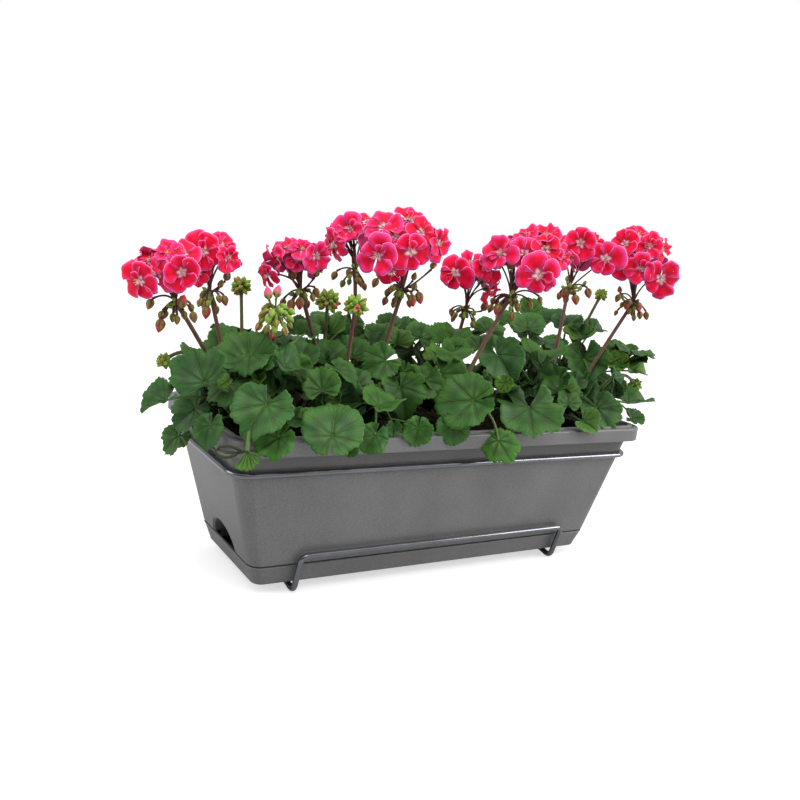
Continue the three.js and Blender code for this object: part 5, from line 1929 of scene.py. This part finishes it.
def build_cluster(name, one):
    """An umbel still in bud."""
    own = settings("flower")
    draw = random.Random(name)
    rise = LARGE_CLUSTER_HUB if one["radius"] > LARGE_CLUSTER else 0
    middle = np.array(one["at"], float) + (0, 0, rise)
    spots, paths = [], [main_stalk(one, own, middle)]
    for at, facing, size, kind, tint in cluster_buds(one, draw):
        spots.append(spot(at, facing, size, kind, tint, draw))
        width = own.pedicel_radius / MM * (0.7 + 0.3 * size)
        paths.append(pedicel(middle, at, facing, width, 0.25 if kind > 2 else 0.8))
    shapes = [bud(ripe) for ripe in BUD_RIPENESS]
    settle(scatter(name + "_buds", spots, shapes, bud_skin()), "bud", name)
    settle(rods(name + "_stalks", paths, flower_stalk(), STALK_SIDES), "stem", name + "_stalk")


class WINDOWBOX_OT_flower_heads(bpy.types.Operator):
    """Grows the nine umbels in bloom on their stalks"""
    bl_idname = "windowbox.flower_heads"
    bl_label = "Flower heads"

    def execute(self, context):
        for number, one in enumerate(FLOWER_HEADS):
            build_head(f"flower_head_{number + 1}", one, HEAD_FLOWERS[number], HEAD_BUDS[number])
        return {"FINISHED"}


class WINDOWBOX_OT_bud_clusters(bpy.types.Operator):
    """Grows the seven umbels that are still in bud on their stalks"""
    bl_idname = "windowbox.bud_clusters"
    bl_label = "Bud clusters"

    def execute(self, context):
        for number, one in enumerate(BUD_CLUSTERS, 1):
            build_cluster(f"bud_cluster_{number}", one)
        return {"FINISHED"}


# ---- stage ----

def area_light(name, at, target, size, power):
    data = bpy.data.lights.new(name, "AREA")
    data.shape, data.size, data.energy = "DISK", size, power
    lamp = bpy.data.objects.new(name, data)
    lamp.location = at
    lamp.rotation_euler = (Vector(target) - Vector(at)).to_track_quat("-Z", "Y").to_euler()
    bpy.context.scene.collection.objects.link(lamp)


def studio_world(own):
    """A soft studio: brightest overhead, dim behind the camera, and white where it is seen."""
    world = bpy.data.worlds.new("studio")
    world.use_nodes = True
    nodes = Nodes(world.node_tree)
    ray = nodes.add("ShaderNodeTexCoord").outputs["Generated"]
    height = nodes.axes(ray)[2]
    toward = nodes.add("ShaderNodeVectorMath", {0: ray, 1: BEHIND_CAMERA}, operation="DOT_PRODUCT")
    dim = nodes.ramp(toward.outputs["Value"], 0.62, 0.95, 1.0, 0.10)
    glow = nodes.times(nodes.ramp(height, -0.1, 0.9, own.horizon, own.ambient), dim)
    seen = nodes.add("ShaderNodeLightPath").outputs["Is Camera Ray"]
    sky = world.node_tree.nodes["Background"]
    nodes.feed(sky.inputs["Strength"], nodes.math("MAXIMUM", glow, seen))
    sky.inputs["Color"].default_value = (1, 1, 1, 1)
    return world


def photo_camera(own):
    """The camera at the photograph's angle, tilted about its own line of sight."""
    yaw, pitch, roll = own.yaw, own.pitch, own.roll
    ahead = Vector((math.sin(yaw) * math.cos(pitch), math.cos(yaw) * math.cos(pitch),
                    -math.sin(pitch)))
    level = Vector((math.cos(yaw), -math.sin(yaw), 0))
    upright = level.cross(ahead)
    right = level * math.cos(roll) + upright * math.sin(roll)
    up = upright * math.cos(roll) - level * math.sin(roll)
    data = bpy.data.cameras.new("camera")
    data.sensor_width, data.lens, data.clip_end = SENSOR_WIDTH, own.lens, CLIP_END
    camera = bpy.data.objects.new("camera", data)
    place = Vector(own.camera_at) + Vector(ORIGIN * MM)
    turned = Matrix((right, up, -ahead)).transposed().to_4x4()
    camera.matrix_world = Matrix.Translation(place) @ turned
    bpy.context.scene.collection.objects.link(camera)
    bpy.context.scene.camera = camera


class WINDOWBOX_OT_stage(bpy.types.Operator):
    """Sets up the pale floor, the soft light and the camera"""
    bl_idname = "windowbox.stage"
    bl_label = "Floor, light and camera"

    def execute(self, context):
        own, scene = settings("studio"), context.scene
        low = CAD_BOX[0].z / MM - ORIGIN[2] - FLOOR_GAP
        shape = Shape()
        disc = level_ring(circle(FLOOR_SIDES), own.floor_size / 2 / MM, low)
        shape.add(disc, [np.arange(FLOOR_SIDES)[None]])
        new_piece("floor", shape.mesh("floor"), pale_floor())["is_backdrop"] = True
        scene.world = studio_world(own)
        for name, (place, target, size) in LAMPS.items():
            area_light(name, place, target, size, getattr(own, name))
        scene.view_settings.view_transform = "Standard"
        photo_camera(own)
        return {"FINISHED"}


# ---- panel and registration ----

class WINDOWBOX_PT_panel(bpy.types.Panel):
    """Lists the settings and the steps"""
    bl_label = "Window box"
    bl_space_type = "VIEW_3D"
    bl_region_type = "UI"
    bl_category = "Window box"

    def draw(self, context):
        for step in STEPS:
            self.layout.operator(step.bl_idname)
        for name, group in GROUPS.items():
            box = self.layout.box()
            box.label(text=group.__doc__)
            for key in group.__annotations__:
                box.prop(getattr(context.scene, "windowbox_" + name), key)


GROUPS = {"box": WINDOWBOX_box_settings, "leaf": WINDOWBOX_leaf_settings,
          "flower": WINDOWBOX_flower_settings, "studio": WINDOWBOX_studio_settings}
STEPS = (WINDOWBOX_OT_stage, WINDOWBOX_OT_trough, WINDOWBOX_OT_tray, WINDOWBOX_OT_soil,
         WINDOWBOX_OT_rack, WINDOWBOX_OT_shoots, WINDOWBOX_OT_flower_heads,
         WINDOWBOX_OT_bud_clusters)
CLASSES = (*GROUPS.values(), *STEPS, WINDOWBOX_PT_panel)


def register():
    for made in CLASSES:
        bpy.utils.register_class(made)
    for name, group in GROUPS.items():
        setattr(bpy.types.Scene, "windowbox_" + name, PointerProperty(type=group))


def unregister():
    for name in GROUPS:
        delattr(bpy.types.Scene, "windowbox_" + name)
    for made in reversed(CLASSES):
        bpy.utils.unregister_class(made)


def main():
    register()
    bpy.ops.windowbox.stage()
    bpy.ops.windowbox.trough()
    bpy.ops.windowbox.tray()
    bpy.ops.windowbox.soil()
    bpy.ops.windowbox.rack()
    bpy.ops.windowbox.shoots()
    bpy.ops.windowbox.flower_heads()
    bpy.ops.windowbox.bud_clusters()
    sizes = [[list(corner) for corner in box] for box in (CAD_BOX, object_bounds())]


if __name__ == "__main__":
    main()
